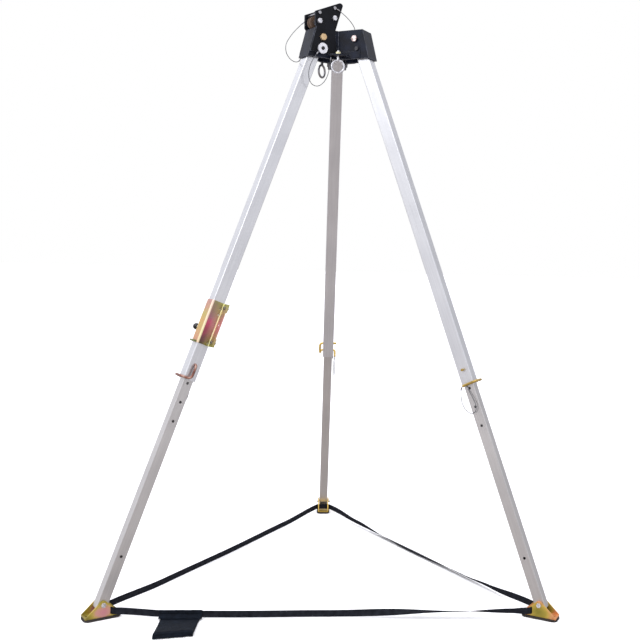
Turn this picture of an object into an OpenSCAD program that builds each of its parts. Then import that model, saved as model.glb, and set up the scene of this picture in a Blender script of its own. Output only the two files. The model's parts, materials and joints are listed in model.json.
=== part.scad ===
// Rescue tripod: three telescopic square legs hinged to a star-shaped steel head,
// a twin pulley bracket over the left arm, locking pins, swivelling feet and a base strap.
// Millimetres, Z up. The origin is on the floor, under the middle of the whole footprint.

/* [Stance] */
// Leg length from the pivot bolt to the ankle bolt
leg_len = 2333; // [2150:1:2450]
// Angle of a spread leg from the vertical
spread = 21; // [18:0.5:23]
// Height of the ankle bolt above the floor
ankle_z = 52; // [50:1:60]

/* [Leg tubes] */
// Outer width of the upper square tube
upper_w = 50; // [46:1:54]
// Wall of the upper tube
upper_wall = 4; // [3:0.5:5]
// Wall of the lower tube
lower_wall = 3; // [2:0.5:4]
// Gap between the two tubes on each side
slide_gap = 1; // [0.8:0.1:1.5]
// Rounding of the tubes' long edges
tube_edge = 3; // [1.5:0.5:3.5]
// Upper tube past the pivot bolt
tube_top = 18; // [16:1:18]
// Pivot bolt to locking pin, along the leg
pin_s = 1418; // [1380:1:1450]
// Upper tube past the locking pin
tube_past_pin = 63; // [58:1:66]
// Spacing of the adjustment holes
hole_pitch = 75; // [70:1:80]
// Adjustment holes above and below the one in use
holes_each_way = 3; // [3:1:3]
// Lower tube above its highest adjustment hole
lower_lead = 40; // [30:1:60]
// Locking pin to the carrying hole near the foot
carry_hole_s = 740; // [700:1:780]
// Lower tube past the ankle bolt
tube_past_ankle = 18; // [15:1:19]
// Length of the plastic glide on the lower tube
glide_len = 30; // [20:1:40]

/* [Locking pins] */
// Rod diameter of a locking pin
pin_d = 10; // [8:0.5:11]
// Clearance of the pin in its holes, on the diameter
pin_clear = 0.6; // [0.4:0.1:1]
// Bend radius on the centre line of the rod
pin_bend = 14; // [12:0.5:15]
// Gap between the rod and the faces of the tube
pin_stand = 3; // [2:0.5:6]
// Drop of the handle below the shaft
pin_drop = 56; // [50:1:60]
// Reach of the handle past the outer face
pin_reach = 14; // [10:1:20]

/* [Head] */
// Radius of the leg pivots from the middle of the head
pivot_r = 101; // [98:1:110]
// Plate thickness of the head
head_plate = 6; // [4:0.5:8]
// Gap between a tube and the cheeks of its arm
arm_gap = 9; // [8.5:0.5:12]
// Head below the pivot bolts
head_below = 82; // [80:1:90]
// Head above the pivot bolts
head_above = 38; // [38:1:48]
// Reach of the arm's inside past the pivot at the top
arm_reach_top = 27; // [24:1:34]
// Gap between a spread leg and the lower edge of its end cap
stop_gap = 0.3; // [0.2:0.1:1]
// Diameter of the line port in the top plate
port_d = 60; // [40:1:64]
// Pivot bolt diameter
pivot_d = 16; // [12:1:18]
// Wall of the sleeve that the pivot bolt turns in
bush_wall = 3; // [2:0.5:4]
// Clearance of a bolt in a plain hole, on the diameter
bolt_clear = 0.2; // [0.1:0.05:0.4]
// Running clearance on the radius
run_clear = 0.05; // [0.03:0.01:0.08]

/* [Corner plates and eyes] */
// Thickness of the corner plates
gusset_plate = 6; // [4:0.5:8]
// Top of the corner plates below the pivots
gusset_drop = 66; // [66:1:70]
// Length of the corner plates along the arms
gusset_len = 60; // [50:1:64]
// Thickness of the corner plates' flange
flange_t = 4; // [3:0.5:6]
// Wire diameter of an eye bolt
eye_wire = 9; // [7:0.5:10]
// Inside diameter of an eye
eye_in = 42; // [34:1:46]
// Middle of an eye below the pivots
eye_drop = 115; // [112:1:125]
// Radius of the eyes from the middle of the head
eye_r = 76; // [74:1:82]
// Shank diameter of an eye bolt
eye_shank = 12; // [10:1:12]

/* [Pulley bracket] */
// Thickness of a bracket plate
bracket_t = 6; // [4:0.5:8]
// Outer radius of a pulley
pulley_r = 25; // [22:0.5:26]
// Width of a pulley
pulley_w = 24; // [18:1:30]
// Radius of the rope groove
groove_r = 7; // [5:0.5:8]
// Pulley axle diameter
axle_d = 12; // [10:1:14]
// Keeper bolt diameter
keeper_d = 8; // [6:1:8]
// Quick pin shaft diameter
quick_d = 10; // [8:0.5:12]
// Quick pin disc diameter
quick_disc = 44; // [36:1:46]
// Push button diameter
button_d = 14; // [10:1:16]

/* [Feet] */
// Length of a foot
foot_len = 136; // [120:1:140]
// Width of a rubber pad
pad_w = 64; // [58:1:68]
// Thickness of a rubber pad
pad_t = 8; // [6:1:10]
// Plate thickness of a foot bracket
foot_plate = 5; // [4:0.5:6]
// Gap between the lower tube and the foot cheeks
ankle_gap = 1.5; // [1:0.25:2]
// Rounding of the foot cheeks round the ankle bolt
ankle_round = 15; // [13:0.5:17]
// Ankle bolt diameter
ankle_d = 10; // [8:1:10]
// Middle of the strap slot inside the ankle
slot_in = 28; // [27:0.5:30]

/* [Base strap] */
// Width of the webbing
web_w = 25; // [20:1:25]
// Thickness of the webbing
web_t = 2; // [1.5:0.1:2.5]
// Clearance round the webbing in its slots
slot_clear = 1; // [0.5:0.25:1.25]
// Length of the pouch along the strap
pouch_len = 156; // [130:1:180]
// Height of the pouch sleeve
pouch_h = 36; // [32:1:40]
// Reach of the pouch in front of the strap
pouch_reach = 160; // [120:1:180]
// Middle of the pouch left of the tripod's middle
pouch_x = 523; // [480:1:560]

/* [Winch bracket] */
// Plate thickness of the winch bracket
winch_t = 4; // [3:0.5:5]
// Length of the winch bracket along the leg
winch_len = 174; // [160:1:185]
// Locking pin to the lower end of the winch bracket
winch_up = 82; // [80:1:100]
// Width of the bracket's flanges
winch_flange = 36; // [32:1:45]
// Diameter of the winch mounting holes
winch_hole = 11; // [8:0.5:13]
// Clamp bolt diameter
clamp_d = 8; // [6:1:10]
// Diameter of the plunger's ball knob
knob_d = 26; // [22:1:30]
// Plunger pin diameter
plunger_d = 8; // [6:0.5:10]

/* [Lanyards] */
// Diameter of the wire lanyards
wire_d = 3; // [2:0.5:3]

/* [Hidden] */
$fn = 48;
AZ_LEFT = 210;
AZ_RIGHT = 330;
AZ_BACK = 90;
LEGS = [AZ_LEFT, AZ_RIGHT, AZ_BACK];
CORNER_FRONT = 270;
CORNER_LEFT = 150;
CORNER_RIGHT = 30;
HALF_CORNER = 60;
eps = 0.01;
over = 1;

lower_w = upper_w - 2 * upper_wall - 2 * slide_gap;
lower_s0 = pin_s - holes_each_way * hole_pitch - lower_lead;
lower_s1 = leg_len + tube_past_ankle;
upper_s1 = pin_s + tube_past_pin;
lower_edge = tube_edge * lower_w / upper_w;
pin_hole_d = pin_d + pin_clear;
pivot_z = ankle_z + leg_len * cos(spread);
ankle_r = pivot_r + leg_len * sin(spread);
bush_d = pivot_d + 2 * run_clear + 2 * bush_wall;
washer_lip = 2;
glide_shoulder = glide_len / 3;
glide_fit = 0.2;

// Metric bolts: the hexagon, the head and the nut follow from the thread
thread_past = 2;
function hex_flats(d) = 1.5 * d + 1;
function hex_corners(d) = hex_flats(d) / cos(30);
function head_t(d) = 0.65 * d;
function nut_h(d) = 0.85 * d;

// Head arms, measured from the leg pivot
cheek_in = upper_w / 2 + arm_gap;
cheek_out = cheek_in + head_plate;
plate_out = cheek_out + bracket_t;
cap_in_low = upper_w / 2 / cos(spread) + head_below * tan(spread) + stop_gap;
cap_tilt = atan((cap_in_low - arm_reach_top) / (head_below + head_above));
cap_wall = head_plate / cos(cap_tilt);
corner_r = cheek_out / sin(HALF_CORNER);
function cap_in(z) = cap_in_low - (z + head_below) * tan(cap_tilt);
function cap_out(z) = cap_in(z) + cap_wall;

// Corner plates: the flange runs along one cheek and carries a bolt ear
flange_lift = 4;
flange_x0 = -pivot_r + corner_r / 2 + flange_lift;
flange_x1 = 25;
flange_top = -52;
flange_low = -head_below + flange_lift;
ear_x = 12;
ear_z = -42;
ear_r = 12;
gusset_d = 10;
gusset_rim = 8;
thin_nut = 5;
eye_thread = 16;

// Pulley bracket, measured from the left leg pivot
axle_at = [[18, 64], [-52, 86]];
keeper_at = [[19, 98], [-52, 127]];
bracket_gap = 2;
bracket_low = -gusset_drop + bracket_gap;
bracket_side = 38;
bracket_in = -70;
waist_drop = 5;
bracket_waist = [-59, head_above - waist_drop];
bracket_peak = [-79, 139];
bracket_round = 14;
peak_from = 68;
peak_to = 160;
peak_steps = 6;
bracket_shoulder = [39, 102];
edge_in = 2;
shoulder_rise = 8;
quick_at = [3, -47];
quick_tip = upper_w / 2 + arm_gap / 2;
quick_collar = 2;
quick_face = plate_out + quick_collar;
quick_head = 8;
button_floor = 1;
button_out = 4;
button_travel = 3;
button_gap = 0.3;
spacer_d = 20;
spacer_gap = 0.3;

// Feet, measured from the ankle bolt
base_top = -ankle_z + pad_t + foot_plate;
foot_in = lower_w / 2 + ankle_gap;
foot_out = foot_in + foot_plate;
pad_round = 20;
bracket_inset = 3;
slot_low = base_top + slot_clear;
drain_d = 8;
drain_in = 12;

// Base strap: each run goes from the middle of one foot to the middle of the next
web_z = ankle_z + slot_low + slot_clear;
slot_r = ankle_r - slot_in;
strap_clear = 4;
strap_turn = foot_out + strap_clear;
strap_y = slot_r / 2 + strap_turn * cos(30);
front_foot = (ankle_r + foot_len / 2 - pad_round) / 2 + (pad_w / 2 - pad_round) * cos(30) + pad_round;
front_reach = max(front_foot, strap_y + pouch_reach);
back_reach = ankle_r + foot_len / 2;
y_shift = (front_reach - back_reach) / 2;

// Winch bracket, measured along the leg from the pivot
winch_s1 = pin_s - winch_up;
winch_s0 = winch_s1 - winch_len;
winch_out = upper_w / 2 + winch_t;
clamp_len = 34;
clamp_in = 17;
clamp_t = upper_w / 2 + winch_t + winch_flange / 2;
pilot_d = 9;
pilot_in = 10;
pilot_low = 9;
pilot_next = 48;
pilot_top = 25;
plunger_in = 16;
plunger_up = 61;
plunger_seat = 8;
plunger_thread = 10.5;
plunger_neck = 12;
plunger_stand = 26;
lip_out = 10;
lip_t = 7;
winch_bend = 8;
winch_root = 4;

// Pouch on the strap: the sleeve's wall, the bag's thickness at the sleeve and at its front
sleeve_t = 5;
floor_gap = 3;
bag_dip = 10;
bag_back = 16;
bag_front = 25;
bag_round = 6;

// Locking pin centre line: outward, along the shaft, down the leg
pin_side = upper_w / 2 + pin_stand + pin_d / 2;
pin_out = upper_w / 2 + pin_reach;
pin_lead = 1;
pin_turn = upper_w / 2 + pin_lead + pin_bend;
pin_past = 6;
pin_lean = 2;
pin_rise = 1;
pin_dip = 4;
pin_hook = 20;
pin_path = [
    [0, -pin_side - pin_past, 0],
    [0, pin_turn, 0],
    [pin_lean, pin_turn, -pin_drop],
    [pin_out, pin_side, -pin_drop],
    [pin_out, -pin_side, -pin_drop + pin_rise],
    [-pin_hook, -pin_side, -pin_drop - pin_dip]
];

// Lanyard routes. Pin lanyards are measured from the locking pin as the pin is;
// the head lanyards are measured from the left pivot: outward, sideways, up.
pin_wire = [
    [-8, -23, -63], [-6, -24, -74], [-2, -26, -90], [3, -28, -112], [7, -30, -138], [4, -31, -158],
    [-9, -32, -170], [-24, -32, -167], [-37, -33, -150], [-43, -33, -126], [-40, -33, -100],
    [-34, -33, -80], [-28, -33, -67], [-21, -33, -61]
];
rear_wire = [
    [39, -43, 74], [52, -42, 62], [72, -40, 42], [94, -37, 18], [112, -34, -6], [126, -32, -30],
    [130, -30, -52], [124, -30, -74], [110, -31, -90], [92, -33, -99], [74, -36, -99], [62, -37, -92],
    [56, -37, -82]
];
front_wire = [
    [-59, 49, 126], [-66, 49, 123], [-78, 49, 117], [-92, 48, 110], [-107, 47, 102], [-122, 46, 92],
    [-136, 46, 80], [-148, 46, 66], [-154, 46, 52], [-156, 46, 38]
];
quick_wire = [
    [21, 52, -62], [32, 53, -76], [46, 53, -96], [58, 53, -120], [65, 53, -148], [64, 53, -176],
    [52, 53, -197], [32, 53, -205], [10, 52, -199], [-12, 51, -178], [-26, 50, -150], [-34, 49, -118],
    [-38, 48, -92], [-40, 48, -72]
];
wire_sides = 8;
pin_sides = 24;
bend_steps = 6;

// Frames

module at_axis() {
    translate([0, y_shift, 0]) children();
}

// Outward, sideways and up from a leg pivot
module at_arm(az) {
    at_axis() rotate([0, 0, az]) translate([pivot_r, 0, pivot_z]) children();
}

// Outward normal, sideways and up along a spread leg, from its pivot
module at_leg(az) {
    at_arm(az) rotate([0, -spread, 0]) children();
}

module at_pin(az) {
    at_leg(az) translate([0, 0, -pin_s]) children();
}

// Outward, sideways and up from an ankle bolt
module at_foot(az) {
    at_axis() rotate([0, 0, az]) translate([ankle_r, 0, ankle_z]) children();
}

// Outward from the hollow corner between two arms, level with the pivots
module at_corner(az) {
    at_axis() rotate([0, 0, az]) translate([0, 0, pivot_z]) children();
}

// Shared shapes

module rounded_square(w, r) {
    square([w - 2 * r, w], center = true);
    square([w, w - 2 * r], center = true);
    for (x = [-1, 1], y = [-1, 1]) translate([x, y] * (w / 2 - r)) circle(r);
}

module square_tube(w, wall, r, length) {
    linear_extrude(length) difference() {
        rounded_square(w, r);
        square(w - 2 * wall, center = true);
    }
}

// A rod along the sideways axis, from y0 to y1
module cross_rod(d, y0, y1) {
    translate([0, y0, 0]) rotate([-90, 0, 0]) cylinder(d = d, h = y1 - y0);
}

// A hexagon for thread d along the sideways axis, from y0 to y1
module cross_hex(d, y0, y1) {
    translate([0, y0, 0]) rotate([-90, 0, 0]) cylinder(d = hex_corners(d), h = y1 - y0, $fn = 6);
}

// A side profile, x outward and y up, made y0 to y1 thick sideways
module side_plate(y0, y1) {
    translate([0, y1, 0]) rotate([90, 0, 0]) linear_extrude(y1 - y0) children();
}

// Bolt with its head on the side that s gives, seated on the faces at reach
module cross_bolt(d, reach, s) {
    mirror([0, s < 0 ? 1 : 0, 0]) {
        cross_hex(d, reach, reach + head_t(d));
        cross_rod(d, -reach - nut_h(d) - thread_past, reach + eps);
    }
}

// Nut on the plain end of such a bolt
module cross_nut(d, reach, s) {
    mirror([0, s < 0 ? 1 : 0, 0]) difference() {
        cross_hex(d, -reach - nut_h(d), -reach);
        cross_rod(d + bolt_clear, -reach - nut_h(d) - over, -reach + over);
    }
}

function unit(v) = v / norm(v);
function mitre(a, b) = (a + b) / (1 + a * b);
function left_of(v) = [-v[1], v[0]];

// Points round one bend at p, from direction u to direction v
function bend(p, u, v, r) =
    let (turn = acos(u * v), m = unit(v - (u * v) * u), c = p - u * r * tan(turn / 2) + m * r)
        [for (k = [0:bend_steps]) let (a = turn * k / bend_steps) c + r * (sin(a) * u - cos(a) * m)];

// A path with each inner corner rounded
function rounded(path, r) =
    let (last = len(path) - 1, dir = [for (i = [0:last - 1]) unit(path[i + 1] - path[i])])
        [path[0], for (i = [1:last - 1]) each bend(path[i], dir[i - 1], dir[i], r), path[last]];

// A sideways direction carried along a path without twist
function carried(dir, side, i) =
    i == len(dir) ? [] : let (s = unit(side - (side * dir[i]) * dir[i])) concat([s], carried(dir, s, i + 1));

// A rod or wire swept along a route as one closed tube
module tube(route, d, sides) {
    last = len(route) - 1;
    dir = [for (i = [0:last]) unit(route[min(i + 1, last)] - route[max(i - 1, 0)])];
    side = carried(dir, abs(dir[0][1]) < 0.9 ? [0, 1, 0] : [1, 0, 0], 0);
    points = [
        for (i = [0:last], k = [0:sides - 1])
            let (a = 360 * k / sides)
                route[i] + d / 2 * (cos(a) * side[i] + sin(a) * cross(dir[i], side[i]))
    ];
    skin = [
        for (i = [0:last - 1], k = [0:sides - 1])
            let (n = (k + 1) % sides, p = i * sides, q = p + sides)
                each [[p + k, q + k, p + n], [p + n, q + k, q + n]]
    ];
    ends = [[for (k = [0:sides - 1]) k], [for (k = [sides - 1:-1:0]) last * sides + k]];
    polyhedron(points, concat(skin, ends));
}

// Head

module arm_profile(inset) {
    low = inset ? -head_below - over : -head_below;
    high = inset ? head_above - head_plate : head_above;
    polygon([
        [-pivot_r, low],
        [inset ? cap_in(low) : cap_out(low), low],
        [inset ? cap_in(high) : cap_out(high), high],
        [-pivot_r, high]
    ]);
}

module head_frame() {
    color([0.10, 0.10, 0.11]) difference() {
        for (az = LEGS) at_arm(az) side_plate(-cheek_out, cheek_out) arm_profile(false);
        for (az = LEGS) at_arm(az) {
            side_plate(-cheek_in, cheek_in) arm_profile(true);
            cross_rod(pivot_d + bolt_clear, -cheek_out - over, cheek_out + over);
        }
        at_corner(0) cylinder(d = port_d, h = head_above + over);
        at_arm(AZ_LEFT) translate([quick_at[0], 0, quick_at[1]])
            cross_rod(quick_d + 2 * run_clear, 0, cheek_out + over);
        ear_places() cross_rod(gusset_d + bolt_clear, cheek_in - over, cheek_out + over);
    }
}

// The three cheeks that carry a corner plate's flange, with the flange on the sideways + side
module ear_places() {
    for (p = [[AZ_RIGHT, 1], [AZ_BACK, 1], [AZ_BACK, 0]])
        at_arm(p[0]) mirror([0, p[1], 0]) translate([ear_x, 0, ear_z]) children();
}

module corner_plate(az, arm, flip) {
    difference() {
        union() {
            at_corner(az) translate([0, 0, -gusset_drop - gusset_plate]) linear_extrude(gusset_plate)
                polygon([
                    [corner_r, 0],
                    [corner_r + gusset_len * cos(HALF_CORNER), gusset_len * sin(HALF_CORNER)],
                    [eye_r + eye_shank + gusset_rim, eye_shank + gusset_rim],
                    [eye_r + eye_shank + gusset_rim, -eye_shank - gusset_rim],
                    [corner_r + gusset_len * cos(HALF_CORNER), -gusset_len * sin(HALF_CORNER)]
                ]);
            at_arm(arm) mirror([0, flip, 0]) side_plate(cheek_out, cheek_out + flange_t) {
                translate([flange_x0, flange_low]) square([flange_x1 - flange_x0, flange_top - flange_low]);
                translate([ear_x, ear_z]) circle(ear_r);
                translate([ear_x - ear_r, flange_top - over]) square([2 * ear_r, ear_z - flange_top + over]);
            }
        }
        at_corner(az) translate([eye_r, 0, -gusset_drop - gusset_plate - over])
            cylinder(d = eye_shank + bolt_clear, h = gusset_plate + 2 * over);
        at_arm(arm) mirror([0, flip, 0]) translate([ear_x, 0, ear_z])
            cross_rod(gusset_d + bolt_clear, cheek_out - over, cheek_out + flange_t + over);
    }
}

module corner_plates() {
    color([0.13, 0.13, 0.14]) {
        corner_plate(CORNER_FRONT, AZ_RIGHT, 1);
        corner_plate(CORNER_RIGHT, AZ_BACK, 1);
        corner_plate(CORNER_LEFT, AZ_BACK, 0);
    }
}

module corner_bolts() {
    color([0.25, 0.25, 0.27]) ear_places() {
        cross_hex(gusset_d, cheek_out + flange_t, cheek_out + flange_t + head_t(gusset_d));
        cross_rod(gusset_d, cheek_in - thin_nut, cheek_out + flange_t + eps);
        difference() {
            cross_hex(gusset_d, cheek_in - thin_nut, cheek_in);
            cross_rod(gusset_d + bolt_clear, cheek_in - thin_nut - over, cheek_in + over);
        }
    }
}

module eye_bolt(az) {
    mean = (eye_in + eye_wire) / 2;
    color([0.78, 0.78, 0.80]) at_corner(az) translate([eye_r, 0, -eye_drop]) {
        rotate([0, 90, 0]) rotate_extrude() translate([mean, 0]) circle(d = eye_wire);
        translate([0, 0, mean]) cylinder(d = eye_shank, h = eye_drop - gusset_drop - mean + eye_thread);
    }
}

module eye_nuts() {
    color([0.86, 0.80, 0.55]) for (az = [CORNER_FRONT, CORNER_LEFT])
        at_corner(az) translate([eye_r, 0, -gusset_drop]) difference() {
            cylinder(d = hex_corners(eye_shank), h = nut_h(eye_shank), $fn = 6);
            translate([0, 0, -over]) cylinder(d = eye_shank + bolt_clear, h = nut_h(eye_shank) + 2 * over);
        }
}

// Pulley bracket

module bracket_profile() {
    arc = (peak_to - peak_from) / peak_steps;
    peak = [
        for (i = [0:peak_steps])
            let (a = peak_from + i * arc)
                bracket_peak + bracket_round * [cos(a), sin(a)]
    ];
    difference() {
        polygon(concat(
            [
                [bracket_in, bracket_low],
                [cap_out(bracket_low) - edge_in, bracket_low],
                [cap_out(head_above) - edge_in, head_above],
                [bracket_side, head_above + shoulder_rise],
                bracket_shoulder
            ],
            peak,
            [bracket_waist]
        ));
        for (p = axle_at) translate(p) circle(d = axle_d + bolt_clear);
        for (p = keeper_at) translate(p) circle(d = keeper_d + bolt_clear);
        translate(quick_at) circle(d = quick_d + 2 * run_clear);
        circle(d = pivot_d + bolt_clear);
    }
}

module bracket_plates() {
    color([0.09, 0.09, 0.10]) at_arm(AZ_LEFT) {
        side_plate(cheek_out, plate_out) bracket_profile();
        side_plate(-plate_out, -cheek_out) bracket_profile();
    }
}

module at_places(places) {
    at_arm(AZ_LEFT) for (p = places) translate([p[0], 0, p[1]]) children();
}

module pulley_axles() {
    color([0.80, 0.80, 0.82]) at_places(axle_at) {
        cross_bolt(axle_d, plate_out, 1);
        cross_nut(axle_d, plate_out, 1);
    }
}

module keeper_bolts() {
    color([0.72, 0.72, 0.74]) at_places(keeper_at) {
        cross_bolt(keeper_d, plate_out, 1);
        cross_nut(keeper_d, plate_out, 1);
    }
}

module pulley_spacers() {
    color([0.70, 0.70, 0.72]) at_places(axle_at) for (s = [0, 1]) mirror([0, s, 0]) difference() {
        cross_rod(spacer_d, pulley_w / 2 + spacer_gap, cheek_out);
        cross_rod(axle_d + bolt_clear, pulley_w / 2 - over, cheek_out + over);
    }
}

module pulley(i) {
    color([0.45, 0.32, 0.20]) at_places([axle_at[i]]) rotate([90, 0, 0]) rotate_extrude() difference() {
        bore = axle_d / 2 + run_clear;
        translate([bore, -pulley_w / 2]) square([pulley_r - bore, pulley_w]);
        translate([pulley_r, 0]) circle(groove_r);
    }
}

// Pivots

module pivot_bolt_left() {
    color([0.85, 0.68, 0.30]) at_arm(AZ_LEFT) cross_bolt(pivot_d, plate_out, 1);
}

module pivot_bolts() {
    color([0.80, 0.76, 0.76]) {
        at_arm(AZ_RIGHT) cross_bolt(pivot_d, cheek_out, -1);
        at_arm(AZ_BACK) cross_bolt(pivot_d, cheek_out, 1);
    }
}

module pivot_nuts() {
    color([0.75, 0.75, 0.77]) {
        at_arm(AZ_LEFT) cross_nut(pivot_d, plate_out, 1);
        at_arm(AZ_RIGHT) cross_nut(pivot_d, cheek_out, -1);
        at_arm(AZ_BACK) cross_nut(pivot_d, cheek_out, 1);
    }
}

module pivot_spacers() {
    color([0.70, 0.70, 0.72]) for (az = LEGS, s = [0, 1])
        at_arm(az) mirror([0, s, 0]) difference() {
            cross_rod(bush_d + 2 * washer_lip, upper_w / 2 + spacer_gap, cheek_in);
            cross_rod(pivot_d + bolt_clear, upper_w / 2 - over, cheek_in + over);
        }
}

module quick_pin() {
    color([0.82, 0.82, 0.84]) at_places([quick_at]) difference() {
        union() {
            cross_rod(quick_d, quick_tip, quick_face + eps);
            cross_rod(2 * quick_d, plate_out, quick_face + eps);
            cross_rod(quick_disc, quick_face, quick_face + quick_head);
        }
        cross_rod(button_d + 2 * button_gap, quick_face + button_floor, quick_face + quick_head + over);
    }
}

module quick_pin_button() {
    low = quick_face + button_floor + button_travel + button_gap;
    high = quick_face + quick_head + button_out;
    color([0.12, 0.12, 0.13]) at_places([quick_at]) cross_rod(button_d, low, high);
}

module lanyard_rear() {
    color([0.60, 0.61, 0.62]) at_arm(AZ_LEFT) tube(rear_wire, wire_d, wire_sides);
}

module lanyard_front() {
    color([0.60, 0.61, 0.62]) at_arm(AZ_LEFT) tube(front_wire, wire_d, wire_sides);
}

module lanyard_quick_pin() {
    color([0.60, 0.61, 0.62]) at_arm(AZ_LEFT) tube(quick_wire, wire_d, wire_sides);
}

// Legs

module upper_leg(az) {
    color([0.80, 0.81, 0.82]) at_leg(az) difference() {
        translate([0, 0, -upper_s1]) square_tube(upper_w, upper_wall, tube_edge, upper_s1 + tube_top);
        cross_rod(bush_d + bolt_clear, -upper_w, upper_w);
        translate([0, 0, -pin_s]) cross_rod(pin_hole_d, -upper_w, upper_w);
    }
}

module pivot_bush(az) {
    color([0.72, 0.66, 0.45]) at_leg(az) difference() {
        cross_rod(bush_d, -upper_w / 2, upper_w / 2);
        cross_rod(pivot_d + 2 * run_clear, -upper_w, upper_w);
    }
}

module lower_leg(az) {
    color([0.76, 0.77, 0.78]) at_leg(az) difference() {
        translate([0, 0, -lower_s1])
            square_tube(lower_w, lower_wall, lower_edge, lower_s1 - lower_s0);
        for (i = [-holes_each_way:holes_each_way])
            translate([0, 0, -pin_s - i * hole_pitch]) cross_rod(pin_hole_d, -lower_w, lower_w);
        translate([0, 0, -pin_s - carry_hole_s]) cross_rod(pin_hole_d, -lower_w, lower_w);
        translate([0, 0, -leg_len]) cross_rod(ankle_d + 2 * run_clear, -lower_w, lower_w);
    }
}

module leg_glide(az) {
    plug_len = glide_len - glide_shoulder;
    color([0.15, 0.15, 0.16]) at_leg(az) translate([0, 0, -lower_s0]) {
        linear_extrude(glide_shoulder) square(upper_w - 2 * upper_wall - 2 * glide_fit, center = true);
        translate([0, 0, -plug_len])
            linear_extrude(plug_len + eps) square(lower_w - 2 * lower_wall - 2 * glide_fit, center = true);
    }
}

module lock_pin(az) {
    color([0.82, 0.68, 0.34]) at_pin(az) tube(rounded(pin_path, pin_bend), pin_d, pin_sides);
}

module pin_lanyard(az) {
    color([0.60, 0.61, 0.62]) at_pin(az) tube(pin_wire, wire_d, wire_sides);
}

// Feet

// Point where a line from the corner (a, z) touches the round at the ankle
function touch(a, z) =
    let (d = norm([a, z]), turn = atan2(z, a) + sign(a) * acos(ankle_round / d))
        ankle_round * [cos(turn), sin(turn)];

module foot_cheek() {
    half = foot_len / 2 - bracket_inset;
    low = base_top - foot_plate;
    polygon([[-half, low], [half, low], [half, base_top], touch(half, base_top), touch(-half, base_top),
        [-half, base_top]]);
    circle(ankle_round);
}

module foot_bracket(az) {
    half = foot_len / 2 - bracket_inset;
    color([0.80, 0.66, 0.34]) at_foot(az) difference() {
        union() {
            side_plate(foot_in, foot_out) foot_cheek();
            side_plate(-foot_out, -foot_in) foot_cheek();
            translate([-half, -foot_in - eps, base_top - foot_plate])
                cube([2 * half, 2 * foot_in + 2 * eps, foot_plate]);
        }
        cross_rod(ankle_d + bolt_clear, -foot_out - over, foot_out + over);
        translate([-slot_in - web_t / 2 - slot_clear, -foot_out - over, slot_low])
            cube([web_t + 2 * slot_clear, 2 * foot_out + 2 * over, web_w + 2 * slot_clear]);
        translate([half - drain_in, 0, base_top - foot_plate - over])
            cylinder(d = drain_d, h = foot_plate + 2 * over);
    }
}

module foot_pad(az) {
    color([0.08, 0.08, 0.08]) at_foot(az) translate([0, 0, -ankle_z]) linear_extrude(pad_t) {
        square([foot_len - 2 * pad_round, pad_w], center = true);
        square([foot_len, pad_w - 2 * pad_round], center = true);
        for (x = [-1, 1], y = [-1, 1])
            translate([x * (foot_len / 2 - pad_round), y * (pad_w / 2 - pad_round)]) circle(pad_round);
    }
}

module ankle_bolt(az) {
    color([0.75, 0.75, 0.77]) at_foot(az) {
        cross_bolt(ankle_d, foot_out, az == AZ_RIGHT ? -1 : 1);
        cross_nut(ankle_d, foot_out, az == AZ_RIGHT ? -1 : 1);
    }
}

// Winch bracket

module at_winch() {
    at_leg(AZ_LEFT) translate([0, 0, -winch_s1]) children();
}

module clamp_places() {
    for (s = [-1, 1], z = [clamp_in, winch_len - clamp_in])
        translate([-upper_w / 2, s * clamp_t, z]) rotate([0, 90, 0]) children();
}

module winch_section() {
    half = upper_w / 2;
    difference() {
        union() {
            translate([half, -winch_out]) square([winch_t, 2 * winch_out]);
            for (s = [0, 1]) mirror([0, s]) {
                translate([-half, half]) square([2 * half + winch_t, winch_t]);
                translate([-half, half]) square([winch_t, winch_t + winch_flange]);
                translate([winch_t - half, winch_out]) difference() {
                    translate([-eps, -eps]) square(winch_root + eps);
                    translate([winch_root, winch_root]) circle(winch_root);
                }
            }
        }
        for (s = [0, 1]) mirror([0, s])
            translate([half + winch_t - winch_bend, winch_out - winch_bend]) difference() {
                square(winch_bend + over);
                circle(winch_bend);
            }
    }
}

module winch_bracket() {
    half = upper_w / 2;
    lip_w = 2 * (winch_out - winch_bend);
    color([0.80, 0.66, 0.36]) at_winch() difference() {
        union() {
            linear_extrude(winch_len) winch_section();
            translate([half, -lip_w / 2, 0]) cube([winch_t + lip_out, lip_w, lip_t]);
        }
        clamp_places() translate([0, 0, -over]) cylinder(d = clamp_d + bolt_clear, h = winch_t + 2 * over);
        for (s = [-1, 1]) translate([-half - over, s * clamp_t, winch_len / 2]) rotate([0, 90, 0])
            cylinder(d = winch_hole, h = winch_t + 2 * over);
        for (z = [pilot_low, winch_len - pilot_next, winch_len - pilot_top])
            translate([pilot_in - half, 0, z]) cross_rod(pilot_d, -winch_out - over, winch_out + over);
        translate([plunger_in, over - half, plunger_up]) rotate([90, 0, 0])
            cylinder(d = plunger_d + 2 * run_clear, h = winch_t + 2 * over);
    }
}

module winch_clamps() {
    color([0.78, 0.64, 0.36]) at_winch() difference() {
        for (z = [0, winch_len - clamp_len])
            translate([-upper_w / 2 - winch_t, -winch_out - winch_flange, z])
                cube([winch_t, 2 * winch_out + 2 * winch_flange, clamp_len]);
        clamp_places() translate([0, 0, -winch_t - over])
            cylinder(d = clamp_d + bolt_clear, h = winch_t + 2 * over);
    }
}

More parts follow.
